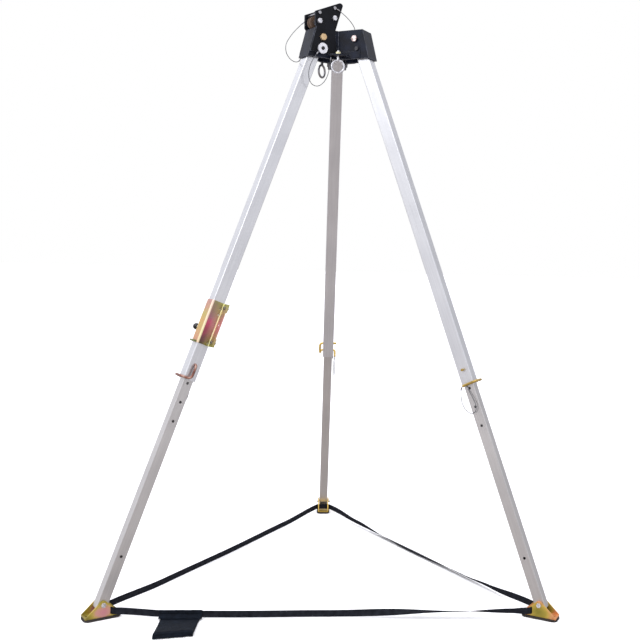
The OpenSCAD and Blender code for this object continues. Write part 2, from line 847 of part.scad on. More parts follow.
module clamp_bolts() {
    color([0.70, 0.70, 0.72]) at_winch() clamp_places() {
        nut = nut_h(clamp_d);
        translate([0, 0, winch_t]) cylinder(d = hex_corners(clamp_d), h = head_t(clamp_d), $fn = 6);
        translate([0, 0, -winch_t - nut - thread_past])
            cylinder(d = clamp_d, h = 2 * winch_t + nut + thread_past + eps);
        translate([0, 0, -winch_t - nut]) difference() {
            cylinder(d = hex_corners(clamp_d), h = nut, $fn = 6);
            translate([0, 0, -over]) cylinder(d = clamp_d + bolt_clear, h = nut + 2 * over);
        }
    }
}

module at_plunger() {
    at_winch() translate([plunger_in, -winch_out, plunger_up]) rotate([90, 0, 0]) children();
}

module plunger_seat_nut() {
    color([0.74, 0.74, 0.76]) at_plunger() difference() {
        cylinder(d = hex_corners(plunger_thread), h = plunger_seat, $fn = 6);
        translate([0, 0, -over]) cylinder(d = plunger_d + 2 * run_clear, h = plunger_seat + 2 * over);
    }
}

module plunger_pin() {
    color([0.78, 0.78, 0.80]) at_plunger() translate([0, 0, spacer_gap - winch_t])
        cylinder(d = plunger_d, h = winch_t - spacer_gap + plunger_seat + plunger_stand - knob_d / 2);
}

module plunger_knob() {
    centre = plunger_seat + plunger_stand;
    color([0.05, 0.05, 0.05]) at_plunger() difference() {
        union() {
            translate([0, 0, centre]) sphere(d = knob_d);
            translate([0, 0, plunger_seat + spacer_gap]) cylinder(d = plunger_neck, h = plunger_stand);
        }
        translate([0, 0, -over]) cylinder(d = plunger_d, h = centre - knob_d / 2 + over);
    }
}

// Base strap

// Plan of one strap run from the middle of the foot at az to the middle of the next foot round
module strap_run(az) {
    a = [cos(az), sin(az)];
    b = [cos(az + 120), sin(az + 120)];
    p = [slot_r * a, slot_r * a + strap_turn * left_of(a), slot_r * b - strap_turn * left_of(b), slot_r * b];
    n = [for (i = [0:2]) left_of(unit(p[i + 1] - p[i]))];
    off = [n[0], mitre(n[0], n[1]), mitre(n[1], n[2]), n[2]] * web_t / 2;
    color([0.07, 0.07, 0.08]) at_axis() translate([0, 0, web_z]) linear_extrude(web_w)
        polygon([for (i = [0:3]) p[i] + off[i], for (i = [3:-1:0]) p[i] - off[i]]);
}

// Sleeve round the front run, with the folded pouch lying on the floor in front of it
module strap_pouch() {
    top = web_z + (web_w + pouch_h) / 2;
    color([0.09, 0.09, 0.10]) at_axis() translate([-pouch_x - pouch_len / 2, -strap_y, 0])
        rotate([90, 0, 90]) linear_extrude(pouch_len) difference() {
            polygon([
                [sleeve_t, web_z - sleeve_t + slot_clear], [sleeve_t, top], [-sleeve_t, top],
                [-sleeve_t - bag_dip, bag_back], [-pouch_reach + bag_round, bag_front],
                [-pouch_reach, bag_front - bag_round], [-pouch_reach, floor_gap], [-sleeve_t, floor_gap]
            ]);
            translate([-web_t / 2 - slot_clear / 2, web_z - slot_clear / 2])
                square([web_t + slot_clear, web_w + slot_clear]);
        }
}

head_frame();
corner_plates();
corner_bolts();
eye_bolt(CORNER_FRONT);  // eye_bolt_front
eye_bolt(CORNER_LEFT);  // eye_bolt_left
eye_nuts();
bracket_plates();
pulley_axles();
keeper_bolts();
pulley_spacers();
pulley(0);  // pulley_outer
pulley(1);  // pulley_inner
pivot_bolt_left();
pivot_bolts();
pivot_nuts();
pivot_spacers();
quick_pin();
quick_pin_button();
lanyard_rear();
lanyard_front();
lanyard_quick_pin();
upper_leg(AZ_LEFT);  // upper_leg_left
upper_leg(AZ_RIGHT);  // upper_leg_right
upper_leg(AZ_BACK);  // upper_leg_back
pivot_bush(AZ_LEFT);  // pivot_bush_left
pivot_bush(AZ_RIGHT);  // pivot_bush_right
pivot_bush(AZ_BACK);  // pivot_bush_back
lower_leg(AZ_LEFT);  // lower_leg_left
lower_leg(AZ_RIGHT);  // lower_leg_right
lower_leg(AZ_BACK);  // lower_leg_back
leg_glide(AZ_LEFT);  // leg_glide_left
leg_glide(AZ_RIGHT);  // leg_glide_right
leg_glide(AZ_BACK);  // leg_glide_back
lock_pin(AZ_LEFT);  // lock_pin_left
lock_pin(AZ_RIGHT);  // lock_pin_right
lock_pin(AZ_BACK);  // lock_pin_back
pin_lanyard(AZ_LEFT);  // pin_lanyard_left
pin_lanyard(AZ_RIGHT);  // pin_lanyard_right
pin_lanyard(AZ_BACK);  // pin_lanyard_back
foot_bracket(AZ_LEFT);  // foot_bracket_left
foot_bracket(AZ_RIGHT);  // foot_bracket_right
foot_bracket(AZ_BACK);  // foot_bracket_back
foot_pad(AZ_LEFT);  // foot_pad_left
foot_pad(AZ_RIGHT);  // foot_pad_right
foot_pad(AZ_BACK);  // foot_pad_back
ankle_bolt(AZ_LEFT);  // ankle_bolt_left
ankle_bolt(AZ_RIGHT);  // ankle_bolt_right
ankle_bolt(AZ_BACK);  // ankle_bolt_back
winch_bracket();
winch_clamps();
clamp_bolts();
plunger_seat_nut();
plunger_pin();
plunger_knob();
strap_run(AZ_LEFT);  // strap_front
strap_run(AZ_BACK);  // strap_left
strap_run(AZ_RIGHT);  // strap_right
strap_pouch();
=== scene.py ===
# %% [markdown]
# # Rescue tripod
# The CAD model holds every rigid piece at its real size. This script loads it as a fixed frame, looks at it
# from where the photograph was taken, adds the cloth, webbing and wire pieces, and gives every surface a
# finish that is worked out from nodes.

# %% Load the frame
import bpy
import json
import numpy as np
from mathutils import Matrix, Vector


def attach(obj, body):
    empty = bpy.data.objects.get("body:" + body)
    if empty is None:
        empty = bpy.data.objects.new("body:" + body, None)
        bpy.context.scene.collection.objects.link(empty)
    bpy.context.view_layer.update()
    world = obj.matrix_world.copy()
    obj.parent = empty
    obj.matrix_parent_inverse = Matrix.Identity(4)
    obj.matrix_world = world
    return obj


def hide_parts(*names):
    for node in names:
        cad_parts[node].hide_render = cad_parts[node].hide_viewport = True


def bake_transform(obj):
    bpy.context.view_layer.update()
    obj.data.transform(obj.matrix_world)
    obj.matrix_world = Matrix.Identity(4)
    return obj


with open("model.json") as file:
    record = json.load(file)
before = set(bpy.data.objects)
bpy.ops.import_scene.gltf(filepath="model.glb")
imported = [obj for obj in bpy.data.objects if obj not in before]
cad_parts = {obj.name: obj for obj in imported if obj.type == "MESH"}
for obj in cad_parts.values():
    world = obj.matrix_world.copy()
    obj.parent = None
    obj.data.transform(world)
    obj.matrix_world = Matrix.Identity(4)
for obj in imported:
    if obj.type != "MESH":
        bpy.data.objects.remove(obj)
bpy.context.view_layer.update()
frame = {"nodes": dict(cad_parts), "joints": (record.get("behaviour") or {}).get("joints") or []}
nodes = frame["nodes"]
joints = {joint["name"]: joint for joint in frame["joints"]}

# %% [markdown]
# ## Camera
# The photograph was taken a little left of the middle, at chest height, with the picture cropped off centre.
# A camera fitted to the legs, holes and bolts gives the place and the angles below. Its small shift stands
# for the crop. The three axes are worked out from the angles and put straight into the camera's matrix.

# %% Place the camera
PICTURE = 640
FOCAL_PX = 915.26
MIDDLE_PX = (384.0, 256.0)
CAMERA_PLACE = np.array([-0.0533, -4.0378, 1.3475])
YAW, PITCH, ROLL = np.radians([4.017, -0.119, 1.562])
SENSOR = 36.0

ahead = np.array([np.sin(YAW) * np.cos(PITCH), np.cos(YAW) * np.cos(PITCH), np.sin(PITCH)])
level = np.array([np.cos(YAW), -np.sin(YAW), 0.0])
upright = np.cross(level, ahead)
across = np.cos(ROLL) * level + np.sin(ROLL) * upright
upward = np.cos(ROLL) * upright - np.sin(ROLL) * level


def linked(name, data):
    """Adds an object with this data to the scene."""
    made = bpy.data.objects.new(name, data)
    bpy.context.scene.collection.objects.link(made)
    return made


camera = linked("camera", bpy.data.cameras.new("camera"))
camera.matrix_world = Matrix(np.vstack([
    np.column_stack([across, upward, -ahead, CAMERA_PLACE]), [0.0, 0.0, 0.0, 1.0]]).tolist())
camera.data.sensor_width = SENSOR
camera.data.lens = FOCAL_PX * SENSOR / PICTURE
camera.data.shift_x = (PICTURE / 2 - MIDDLE_PX[0]) / PICTURE
camera.data.shift_y = (MIDDLE_PX[1] - PICTURE / 2) / PICTURE
camera.data.clip_end = 200.0
bpy.context.scene.camera = camera
print("camera lens:", round(camera.data.lens, 2), "mm, shift:", camera.data.shift_x, camera.data.shift_y)

# %% [markdown]
# ## Places on the object
# Each leg has three frames, as in the CAD source: one level at its pivot bolt, one tilted along the spread
# leg, and one at its lock pin. A frame is an origin and three axes (outward, sideways, up), and a point
# given in millimetres in it becomes a point of the model in metres with one matrix product.

# %% Leg frames
SIDES = {"left": 210.0, "right": 330.0, "back": 90.0}
SPREAD = np.radians(21.0)
PIN_DOWN_LEG = 1.418
MM = 1000.0
UP = np.array([0.0, 0.0, 1.0])


def arm_frame(side):
    """Origin at the pivot bolt; axes outward from the head's middle, sideways, and straight up."""
    angle = np.radians(SIDES[side])
    axes = np.array([[np.cos(angle), np.sin(angle), 0.0], [-np.sin(angle), np.cos(angle), 0.0], UP])
    return np.array(joints["fold_" + side]["pos_m"]), axes


def leg_frame(side, down=0.0):
    """Origin on the leg's middle line, so far down from the pivot; axes outward, sideways, up the leg."""
    origin, (out, sideways, up) = arm_frame(side)
    along = np.cos(SPREAD) * up - np.sin(SPREAD) * out
    axes = np.array([np.cos(SPREAD) * out + np.sin(SPREAD) * up, sideways, along])
    return origin - down * along, axes


def placed(points_mm, where):
    """Points in millimetres in a frame, as points of the model in metres: origin plus points times axes."""
    origin, axes = where
    return origin + np.asarray(points_mm, float) / MM @ axes


AXIS_XY = np.mean([arm_frame(side)[0][:2] for side in SIDES], axis=0)
print("middle of the head, in plan:", AXIS_XY.round(4).tolist())

# %% [markdown]
# ## Helpers for surfaces
# Every new piece is a grid of points: rings along a path, and points round each ring. One function turns such
# a grid into a mesh with its UV map, and one carries a ring along a path. A grid whose faces came out
# pointing inwards is turned over, so it doesn't matter which way round its rings were drawn.

# %% Grid mesh


def mesh_piece(name, points, faces, material):
    """A smooth-shaded mesh object with one finish."""
    mesh = bpy.data.meshes.new(name)
    mesh.from_pydata(points.tolist(), [], faces)
    mesh.shade_smooth()
    mesh.materials.append(material)
    return linked(name, mesh)


def grid_piece(name, grid, uv, material, caps=True, sharp=40.0):
    """A mesh from a grid of points (along, round, 3). Neighbours make quads, each ring is closed, and caps
    shuts both ends with one face. uv has the same shape and is stored per corner. Where the quads enclose a
    negative volume (sum of middle times the cross product of the diagonals), all faces are turned over."""
    points = grid.reshape(-1, 3)
    index = np.arange(len(points)).reshape(grid.shape[:2])
    beside = np.roll(index, -1, axis=1)
    quads = np.stack([index[:-1], beside[:-1], beside[1:], index[1:]], axis=-1).reshape(-1, 4)
    faces = quads.tolist()
    if caps:
        faces += [index[0, ::-1].tolist(), index[-1].tolist()]
    a, b, c, d = np.moveaxis((points - points.mean(axis=0))[quads], 1, 0)
    if np.sum((a + b + c + d) * np.cross(c - a, d - b)) < 0:
        faces = [face[::-1] for face in faces]
    piece = mesh_piece(name, points, faces, material)
    corner = np.zeros(len(piece.data.loops), np.int32)
    piece.data.loops.foreach_get("vertex_index", corner)
    layer = piece.data.uv_layers.new(name="along_and_round")
    layer.data.foreach_set("uv", uv.reshape(-1, 2)[corner].astype(np.float32).ravel())
    piece.data.set_sharp_from_angle(angle=np.radians(sharp))
    return piece


# %% Paths and sweeps


def smooth_path(points, steps):
    """A curve through all points: on each stretch the cubic whose slopes are half the chord of the two
    neighbours (Catmull-Rom), sampled steps times."""
    ends = np.vstack([2 * points[0] - points[1], points, 2 * points[-1] - points[-2]])
    t = np.linspace(0.0, 1.0, steps, endpoint=False)[None, :, None]
    a, b, c, d = (ends[i:len(ends) - 3 + i, None, :] for i in range(4))
    curve = 0.5 * (2 * b + (c - a) * t + (2 * a - 5 * b + 4 * c - d) * t ** 2
                   + (3 * b - a - 3 * c + d) * t ** 3)
    return np.vstack([curve.reshape(-1, 3), points[-1:]])


def distance_along(path):
    """Distance from the path's first point to each of its points."""
    return np.concatenate([[0.0], np.cumsum(np.linalg.norm(np.diff(path, axis=0), axis=1))])


def between(at, along, values):
    """Rows of values known at the distances along, read off between them in straight lines."""
    return np.stack([np.interp(at, along, column) for column in values.T], axis=1)


def unit(rows):
    """Each row divided by its length."""
    return rows / np.linalg.norm(rows, axis=1, keepdims=True)


def around(rows, count):
    """Angles evenly spaced round a ring, the same in each row of a grid."""
    return np.tile(np.linspace(0.0, 2 * np.pi, count, endpoint=False), (rows, 1))


def paired(along, across):
    """UV pairs for a grid: the distance along its rows and a value across its columns."""
    return np.stack(np.broadcast_arrays(along[:, None], across), axis=-1)


def swept(path, radius, angle, reference):
    """Rings round a path: centre + radius * (cos angle * first axis + sin angle * second axis). Both axes are
    square to the path, the second as near the reference as it can be."""
    tangent = unit(np.gradient(path, axis=0))
    first = unit(np.cross(tangent, reference))
    second = np.cross(first, tangent)
    return (path[:, None, :] + (radius * np.cos(angle))[..., None] * first[:, None, :]
            + (radius * np.sin(angle))[..., None] * second[:, None, :])


# %% [markdown]
# ## Colours and nodes
# Colours are written as sRGB hex, as a colour picker shows them, and one function turns them to linear
# light. Another adds a node with its settings and links, so a material reads as a list of connections.

# %% Node helpers


def linear(code):
    """sRGB hex to linear RGBA: c / 12.92 below 0.04045, else ((c + 0.055) / 1.055) ** 2.4."""
    c = np.array([int(code[i:i + 2], 16) for i in (0, 2, 4)]) / 255.0
    return (*np.where(c <= 0.04045, c / 12.92, ((c + 0.055) / 1.055) ** 2.4).tolist(), 1.0)


def feed(tree, node, inputs):
    """Sets or links the node's own sockets."""
    for name, value in inputs.items():
        if isinstance(value, bpy.types.NodeSocket):
            tree.links.new(value, node.inputs[name])
        else:
            node.inputs[name].default_value = value


def add_node(tree, kind, inputs=None, stops=None, **settings):
    """One node: settings are properties, inputs are values or sockets, stops fill a colour ramp."""
    made = tree.nodes.new(kind)
    for name, value in settings.items():
        setattr(made, name, value)
    feed(tree, made, inputs or {})
    for place, (at, code) in enumerate(stops or []):
        ramp = made.color_ramp.elements
        element = ramp[place] if place < 2 else ramp.new(at)
        element.position = at
        element.color = linear(code)
    return made


def new_finish(name):
    """An empty material with a Principled shader on its output: (material, tree, shader)."""
    finish = bpy.data.materials.new(name)
    finish.use_nodes = True
    tree = finish.node_tree
    tree.nodes.clear()
    shader = add_node(tree, "ShaderNodeBsdfPrincipled")
    add_node(tree, "ShaderNodeOutputMaterial", {"Surface": shader.outputs["BSDF"]})
    return finish, tree, shader


def in_frame(tree, where):
    """The point's place in a frame, in metres, as a Mapping node: axes times (point - origin)."""
    origin, axes = where
    place = add_node(tree, "ShaderNodeTexCoord")
    return add_node(tree, "ShaderNodeMapping", {
        "Vector": place.outputs["Object"], "Rotation": Matrix(axes.tolist()).to_euler("XYZ"),
        "Location": (-axes @ origin).tolist()}).outputs["Vector"]


print("steel grey in linear light:", [round(x, 3) for x in linear("8e9092")])

# %% [markdown]
# ## Leg aluminium
# The legs are extruded square tube, clear anodised: a pale satin metal with faint draw lines that run along
# the tube. The lines follow each leg, so the pattern is turned to the leg's own axes with a Mapping node.
# Real draw lines are a few tenths of a millimetre apart; these are about 3 mm apart, so that they show.

# %% Drawn aluminium
LINE_MM, LINE_STRETCH = 3.0, 60.0
CLOUD_MM = 200.0
TUBE_TONES = {"upper": [(0.3, "d0d1d5"), (0.7, "e4e5e8")], "lower": [(0.3, "c3c1c1"), (0.7, "d8d6d5")]}


def drawn_aluminium(side, tube):
    """Satin metal whose roughness and tone vary in streaks: noise stretched 60 times along the leg."""
    finish, tree, shader = new_finish(f"drawn_aluminium_{tube}_{side}")
    turned = in_frame(tree, leg_frame(side))
    stretched = add_node(tree, "ShaderNodeMapping", {
        "Vector": turned, "Scale": (MM / LINE_MM, MM / LINE_MM, MM / LINE_MM / LINE_STRETCH)})
    lines = add_node(tree, "ShaderNodeTexNoise", {
        "Vector": stretched.outputs["Vector"], "Scale": 1.0, "Detail": 3.0, "Roughness": 0.6})
    cloud = add_node(tree, "ShaderNodeTexNoise", {"Vector": turned, "Scale": MM / CLOUD_MM, "Detail": 2.0})
    both = add_node(tree, "ShaderNodeMath", {0: lines.outputs["Fac"], 1: cloud.outputs["Fac"]},
                    operation="ADD")
    half = add_node(tree, "ShaderNodeMath", {0: both.outputs["Value"], 1: 0.5}, operation="MULTIPLY")
    tone = add_node(tree, "ShaderNodeValToRGB", {"Fac": half.outputs["Value"]}, stops=TUBE_TONES[tube])
    rough = add_node(tree, "ShaderNodeMapRange", {
        "Value": lines.outputs["Fac"], "To Min": 0.24, "To Max": 0.38})
    bump = add_node(tree, "ShaderNodeBump", {
        "Height": lines.outputs["Fac"], "Strength": 0.08, "Distance": 0.0004})
    feed(tree, shader, {"Base Color": tone.outputs["Color"], "Roughness": rough.outputs["Result"],
                        "Normal": bump.outputs["Normal"], "Metallic": 0.9})
    return finish


aluminium = {(tube, side): drawn_aluminium(side, tube) for tube in TUBE_TONES for side in SIDES}
print("leg finishes:", [finish.name for finish in aluminium.values()])

# %% [markdown]
# ## Coated, plated and plain metals
# The head is welded plate with a black powder coat: a satin skin with an orange-peel dimple of about 2 mm.
# Its rounded edges get a paler coat, a painted highlight, and the bracket plates get a darker copy of the
# coat, painted shade. Bolts are bright zinc, the left pivot bolt is brass-yellow, the quick pin's disc is
# chrome. On the bright zinc, the nickel pivot bolts and the chrome, the tone runs dark to pale over patches
# the
# size of a bolt head: painted shading and reflections. One builder makes them all from a tone range, a
# roughness range and a grain.

# %% Grained metal and coat finishes


def grained(name, dark, pale, rough, grain_mm, metallic, bump=0.1, depth_mm=0.05, patch_mm=40.0, gloss=0.5):
    """Tone runs from dark to pale over patches, roughness over the grain, and the grain lifts the surface."""
    finish, tree, shader = new_finish(name)
    where = add_node(tree, "ShaderNodeTexCoord")
    grain = add_node(tree, "ShaderNodeTexNoise", {
        "Vector": where.outputs["Object"], "Scale": MM / grain_mm, "Detail": 3.0})
    patch = add_node(tree, "ShaderNodeTexNoise", {
        "Vector": where.outputs["Object"], "Scale": MM / patch_mm, "Detail": 4.0})
    tone = add_node(tree, "ShaderNodeValToRGB", {"Fac": patch.outputs["Fac"]},
                    stops=[(0.35, dark), (0.65, pale)])
    spread = add_node(tree, "ShaderNodeMapRange", {
        "Value": grain.outputs["Fac"], "To Min": rough[0], "To Max": rough[1]})
    lift = add_node(tree, "ShaderNodeBump", {
        "Height": grain.outputs["Fac"], "Strength": bump, "Distance": depth_mm / MM})
    feed(tree, shader, {"Base Color": tone.outputs["Color"], "Roughness": spread.outputs["Result"],
                        "Normal": lift.outputs["Normal"], "Metallic": metallic, "Specular IOR Level": gloss})
    return finish


powder_coat = grained("black_powder_coat", "090c16", "111727", (0.28, 0.44), 2.0, 0.0, 0.25, 0.08, gloss=0.2)
# the head's coat made darker for the bracket plates: painted shade
plate_coat_painted_shade = grained("black_coat_painted_shade", "07080d", "0d0f16", (0.34, 0.5), 2.0, 0.0, 0.25, 0.08, gloss=0.16)
# paler coat for the rounded edges of the coated pieces: a painted highlight
coat_edge_highlight = grained("coat_edge_painted_highlight", "20222a", "545863", (0.3, 0.45), 2.0, 0.2, 0.2, 0.08, patch_mm=15.0)
# bright zinc: tone dark to pale over 8 mm patches, painted shading and reflection on the bolt heads
bright_zinc = grained("bright_zinc_steel_painted_shade", "a6a6ac", "f0f0f4", (0.2, 0.36), 3.0, 0.75, patch_mm=8.0)
dull_zinc = grained("dull_zinc_steel", "9a9a9e", "b8b8bc", (0.3, 0.5), 2.0, 1.0)
dark_bolt = grained("oiled_black_bolt", "3a3a3d", "55555a", (0.35, 0.5), 2.0, 0.9)
# nickel steel: tone dark to pale over 14 mm patches, painted shading and reflection on the bolt heads
pink_steel = grained("nickel_steel_bolt_painted_shade", "4a3230", "e4d2d0", (0.16, 0.3), 3.0, 1.0, patch_mm=14.0)
brass_yellow = grained("brass_yellow_bolt", "bb9d74", "d0b48a", (0.28, 0.42), 3.0, 0.5)
pale_brass = grained("pale_yellow_zinc_nut", "ddd6ac", "f2edd0", (0.25, 0.4), 3.0, 0.6)
# chrome: a pale, partly diffuse tone, dark to pale over 9 mm patches, a painted reflection on the disc
chrome = grained("satin_chrome_painted_reflection", "d0d0d8", "f2f2f6", (0.16, 0.3), 4.0, 0.7, 0.03, patch_mm=9.0)
bronze = grained("sintered_bronze", "9a7d45", "b8985c", (0.4, 0.6), 1.5, 0.9)
nylon_brown = grained("cast_brown_nylon", "4a3b31", "6b5646", (0.4, 0.6), 3.0, 0.0, gloss=0.25)
black_moulding = grained("moulded_black_plastic", "141416", "1e1e21", (0.35, 0.5), 1.5, 0.0)
gloss_knob = grained("phenolic_gloss_black", "0d0d0f", "17171a", (0.08, 0.16), 5.0, 0.0, 0.02)
rubber = grained("ribbed_black_rubber", "1c1815", "2b2521", (0.7, 0.9), 1.5, 0.0, 0.5, 0.2)
wire_steel = grained("galvanised_wire_rope", "55565a", "7d7e82", (0.35, 0.55), 2.0, 0.7)
print("plain finishes made")

# %% [markdown]
# ## Yellow zinc
# The feet, the winch bracket and the lock pins are steel with a yellow chromate over zinc. The film is a few
# hundred nanometres thick, and its colour goes from gold through pink to olive as it drains and dries
# towards the edges of a piece. So the colour is a ramp along a distance that is measured in the piece's own
# frame: from the middle of a foot's cheek outward, or along the winch bracket, with a ramp for each of its
# faces. On the winch bracket each face's ramp also holds the light and shade that face gets, and the ramps on
# the outer bends and the flange roots are painted highlights. Slow noise moves the bands so that they aren't
# ruled lines.

# %% Plating helpers
WANDER_MM, ZINC_GRAIN_MM = 25.0, 3.0


def wandering(tree, place, value, amount):
    """The value plus amount times a slow noise that is centred on zero."""
    slow = add_node(tree, "ShaderNodeTexNoise", {
        "Vector": place, "Scale": MM / WANDER_MM, "Detail": 3.0, "Distortion": 0.4})
    centred = add_node(tree, "ShaderNodeMath", {0: slow.outputs["Fac"], 1: -0.5}, operation="ADD")
    return add_node(tree, "ShaderNodeMath", {0: centred.outputs["Value"], 1: amount, 2: value},
                    operation="MULTIPLY_ADD").outputs["Value"]


def plated(tree, shader, place, colour):
    """Feeds the colour to a bright metal whose roughness and lift follow a 3 mm grain: the film's colour, and
    on the winch bracket also painted light and shade.
    """
    grain = add_node(tree, "ShaderNodeTexNoise", {
        "Vector": place, "Scale": MM / ZINC_GRAIN_MM, "Detail": 3.0})
    rough = add_node(tree, "ShaderNodeMapRange", {
        "Value": grain.outputs["Fac"], "To Min": 0.22, "To Max": 0.4})
    bump = add_node(tree, "ShaderNodeBump", {
        "Height": grain.outputs["Fac"], "Strength": 0.1, "Distance": 0.00005})
    feed(tree, shader, {"Base Color": colour, "Roughness": rough.outputs["Result"],
                        "Normal": bump.outputs["Normal"], "Metallic": 0.6})


# %% Plating on the feet
ANKLE_DOWN_LEG = 2.333
CHEEK_MIDDLE_MM = (0.0, 0.0, -24.0)
CHEEK_SHAPE = (0.75, 0.0, 1.0)
FILM_FROM, FILM_TO, FOOT_WANDER = 0.004, 0.046, 0.022
FILMS = {
    "left": [(0.0, "cf8d93"), (1.0, "8d7f3c"), (0.32, "d09a8c"), (0.5, "c4a85c"), (0.75, "a8983f")],
    "right": [(0.0, "8f8434"), (1.0, "d0905e"), (0.3, "a8963f"), (0.55, "c7a94f"), (0.8, "d79a6a")],
    "back": [(0.0, "d8b95f"), (1.0, "a98a3a"), (0.5, "cfae55")],
}


def foot_plating(side):
    """Colour by distance from the cheek's middle, seen from its side: the root of (0.75 x) ** 2 + z ** 2."""
    finish, tree, shader = new_finish("yellow_zinc_foot_" + side)
    level = (leg_frame(side, ANKLE_DOWN_LEG)[0], arm_frame(side)[1])
    place = in_frame(tree, (placed(CHEEK_MIDDLE_MM, level), level[1]))
    seen = add_node(tree, "ShaderNodeVectorMath", {0: place, 1: CHEEK_SHAPE}, operation="MULTIPLY")
    away = add_node(tree, "ShaderNodeVectorMath", {0: seen.outputs["Vector"]}, operation="LENGTH")
    share = add_node(tree, "ShaderNodeMapRange", {
        "Value": wandering(tree, place, away.outputs["Value"], FOOT_WANDER),
        "From Min": FILM_FROM, "From Max": FILM_TO})
    film = add_node(tree, "ShaderNodeValToRGB", {"Fac": share.outputs["Result"]}, stops=FILMS[side])
    plated(tree, shader, place, film.outputs["Color"])
    return finish


foot_zinc = {side: foot_plating(side) for side in SIDES}
print("foot finishes:", [finish.name for finish in foot_zinc.values()])

# %% Plating on the winch bracket, with painted light and shade
WINCH_LEN, WINCH_LOW, WINCH_WANDER = 0.174, 1.336, 0.05
INNER_AT = 0.014
WEB_AT, LIP_AT, BEND_AT, ROOT_AT, FLANGE_AT = 0.0252, 0.0293, 0.0505, 0.0462, 0.0538
# film colour per face with each face's light and shade painted in; bend and root are painted highlights
WINCH_FILM_AND_LIGHT = {
    "side": [(0.0, "554a33"), (1.0, "8c845c"), (0.16, "6b4548"), (0.32, "9a4858"), (0.5, "b8506a"),
             (0.64, "9c6a74"), (0.8, "937866")],
    "inner": [(0.0, "8a8440"), (1.0, "a29a5c"), (0.2, "9c7c60"), (0.5, "b98a86"), (0.75, "ab9474")],
    "web": [(0.0, "cd8d74"), (1.0, "bd8c86"), (0.2, "c99e70"), (0.4, "c2a560"), (0.5, "cba064"),
            (0.64, "bcac60"), (0.84, "c2957a")],
    "lip": [(0.0, "6f7644"), (1.0, "8a9054")],
    "root": [(0.0, "cfce8c"), (1.0, "cccc88"), (0.3, "dccba4"), (0.7, "d9c698")],
    "flange": [(0.0, "959348"), (1.0, "a8a468"), (0.16, "ad9868"), (0.36, "c88984"), (0.6, "c48a84"),
               (0.8, "b8a07a")],
    "bend": [(0.0, "d6bd9e"), (1.0, "dcc2b2"), (0.25, "d0c798"), (0.6, "d8c2a6")],
}


def winch_plating_and_light():
    """One ramp along the bracket for each face, holding the film colour and the light and shade that face
    gets; the ramps at the outer bends and the flange roots are painted highlights. The face is told by the
    place across the
    leg: outward x, the distance aside, their sum at the outer bends and their difference at the flange roots."""
    finish, tree, shader = new_finish("yellow_zinc_winch")
    place = in_frame(tree, leg_frame("left", WINCH_LOW))
    part = add_node(tree, "ShaderNodeSeparateXYZ", {"Vector": place})
    along = add_node(tree, "ShaderNodeMapRange", {
        "Value": wandering(tree, place, part.outputs["Z"], WINCH_WANDER), "From Max": WINCH_LEN})
    film = {}
    for face, stops in WINCH_FILM_AND_LIGHT.items():
        ramp = add_node(tree, "ShaderNodeValToRGB", {"Fac": along.outputs["Result"]}, stops=stops)
        film[face] = ramp.outputs["Color"]
    outward = part.outputs["X"]
    aside = add_node(tree, "ShaderNodeMath", {0: part.outputs["Y"]}, operation="ABSOLUTE").outputs["Value"]
    total = add_node(tree, "ShaderNodeMath", {0: outward, 1: aside}, operation="ADD").outputs["Value"]
    behind = add_node(tree, "ShaderNodeMath", {0: aside, 1: outward}, operation="SUBTRACT").outputs["Value"]
    inward = add_node(tree, "ShaderNodeMapRange", {
        "Value": outward, "From Min": INNER_AT, "From Max": -INNER_AT}, interpolation_type="SMOOTHSTEP")
    colour = add_node(tree, "ShaderNodeMixRGB", {
        "Fac": inward.outputs["Result"], "Color1": film["side"], "Color2": film["inner"]}).outputs["Color"]
    # the bend and root layers lay painted highlights on the outer bends and the flange roots
    layers = (("web", outward, WEB_AT), ("root", behind, ROOT_AT), ("flange", behind, FLANGE_AT),
              ("bend", total, BEND_AT), ("lip", outward, LIP_AT))
    for face, value, least in layers:
        there = add_node(tree, "ShaderNodeMath", {0: value, 1: least}, operation="GREATER_THAN")
        colour = add_node(tree, "ShaderNodeMixRGB", {
            "Fac": there.outputs["Value"], "Color1": colour, "Color2": film[face]}).outputs["Color"]
    plated(tree, shader, place, colour)
    return finish


winch_zinc = winch_plating_and_light()
print("winch finish:", winch_zinc.name)

# %% Plating on the lock pins
RAMP_MIDDLE, PIN_WANDER = 0.5, 1.6
PIN_FILMS = {
    "left": [(0.0, "4d332c"), (1.0, "c9b0a2"), (0.5, "85594d")],
    "right": [(0.0, "7a6632"), (1.0, "d9c794"), (0.5, "b0934c")],
    "back": [(0.0, "a08038"), (1.0, "e2c87e"), (0.5, "cdac4f")],
}


def pin_plating(side):
    """Colour by a slow noise alone: the rod is thin and drained in the bath at an angle."""
    finish, tree, shader = new_finish("yellow_zinc_pin_" + side)
    place = in_frame(tree, leg_frame(side, PIN_DOWN_LEG))
    share = wandering(tree, place, RAMP_MIDDLE, PIN_WANDER)
    film = add_node(tree, "ShaderNodeValToRGB", {"Fac": share}, stops=PIN_FILMS[side])
    plated(tree, shader, place, film.outputs["Color"])
    return finish


pin_zinc = {side: pin_plating(side) for side in SIDES}
print("pin finishes:", [finish.name for finish in pin_zinc.values()])

# %% [markdown]
# ## Webbing and cloth
# The base strap is plain-woven polyester webbing: ribs across it a little over 2 mm apart and a thicker
# selvedge. The pattern reads the piece's own UV map, which is in metres along and across the band, so it
# follows the twists. The pouch is coated nylon with a fine square weave and a soft sheen.

# %% Woven finishes
FUZZ_MM = 18.0


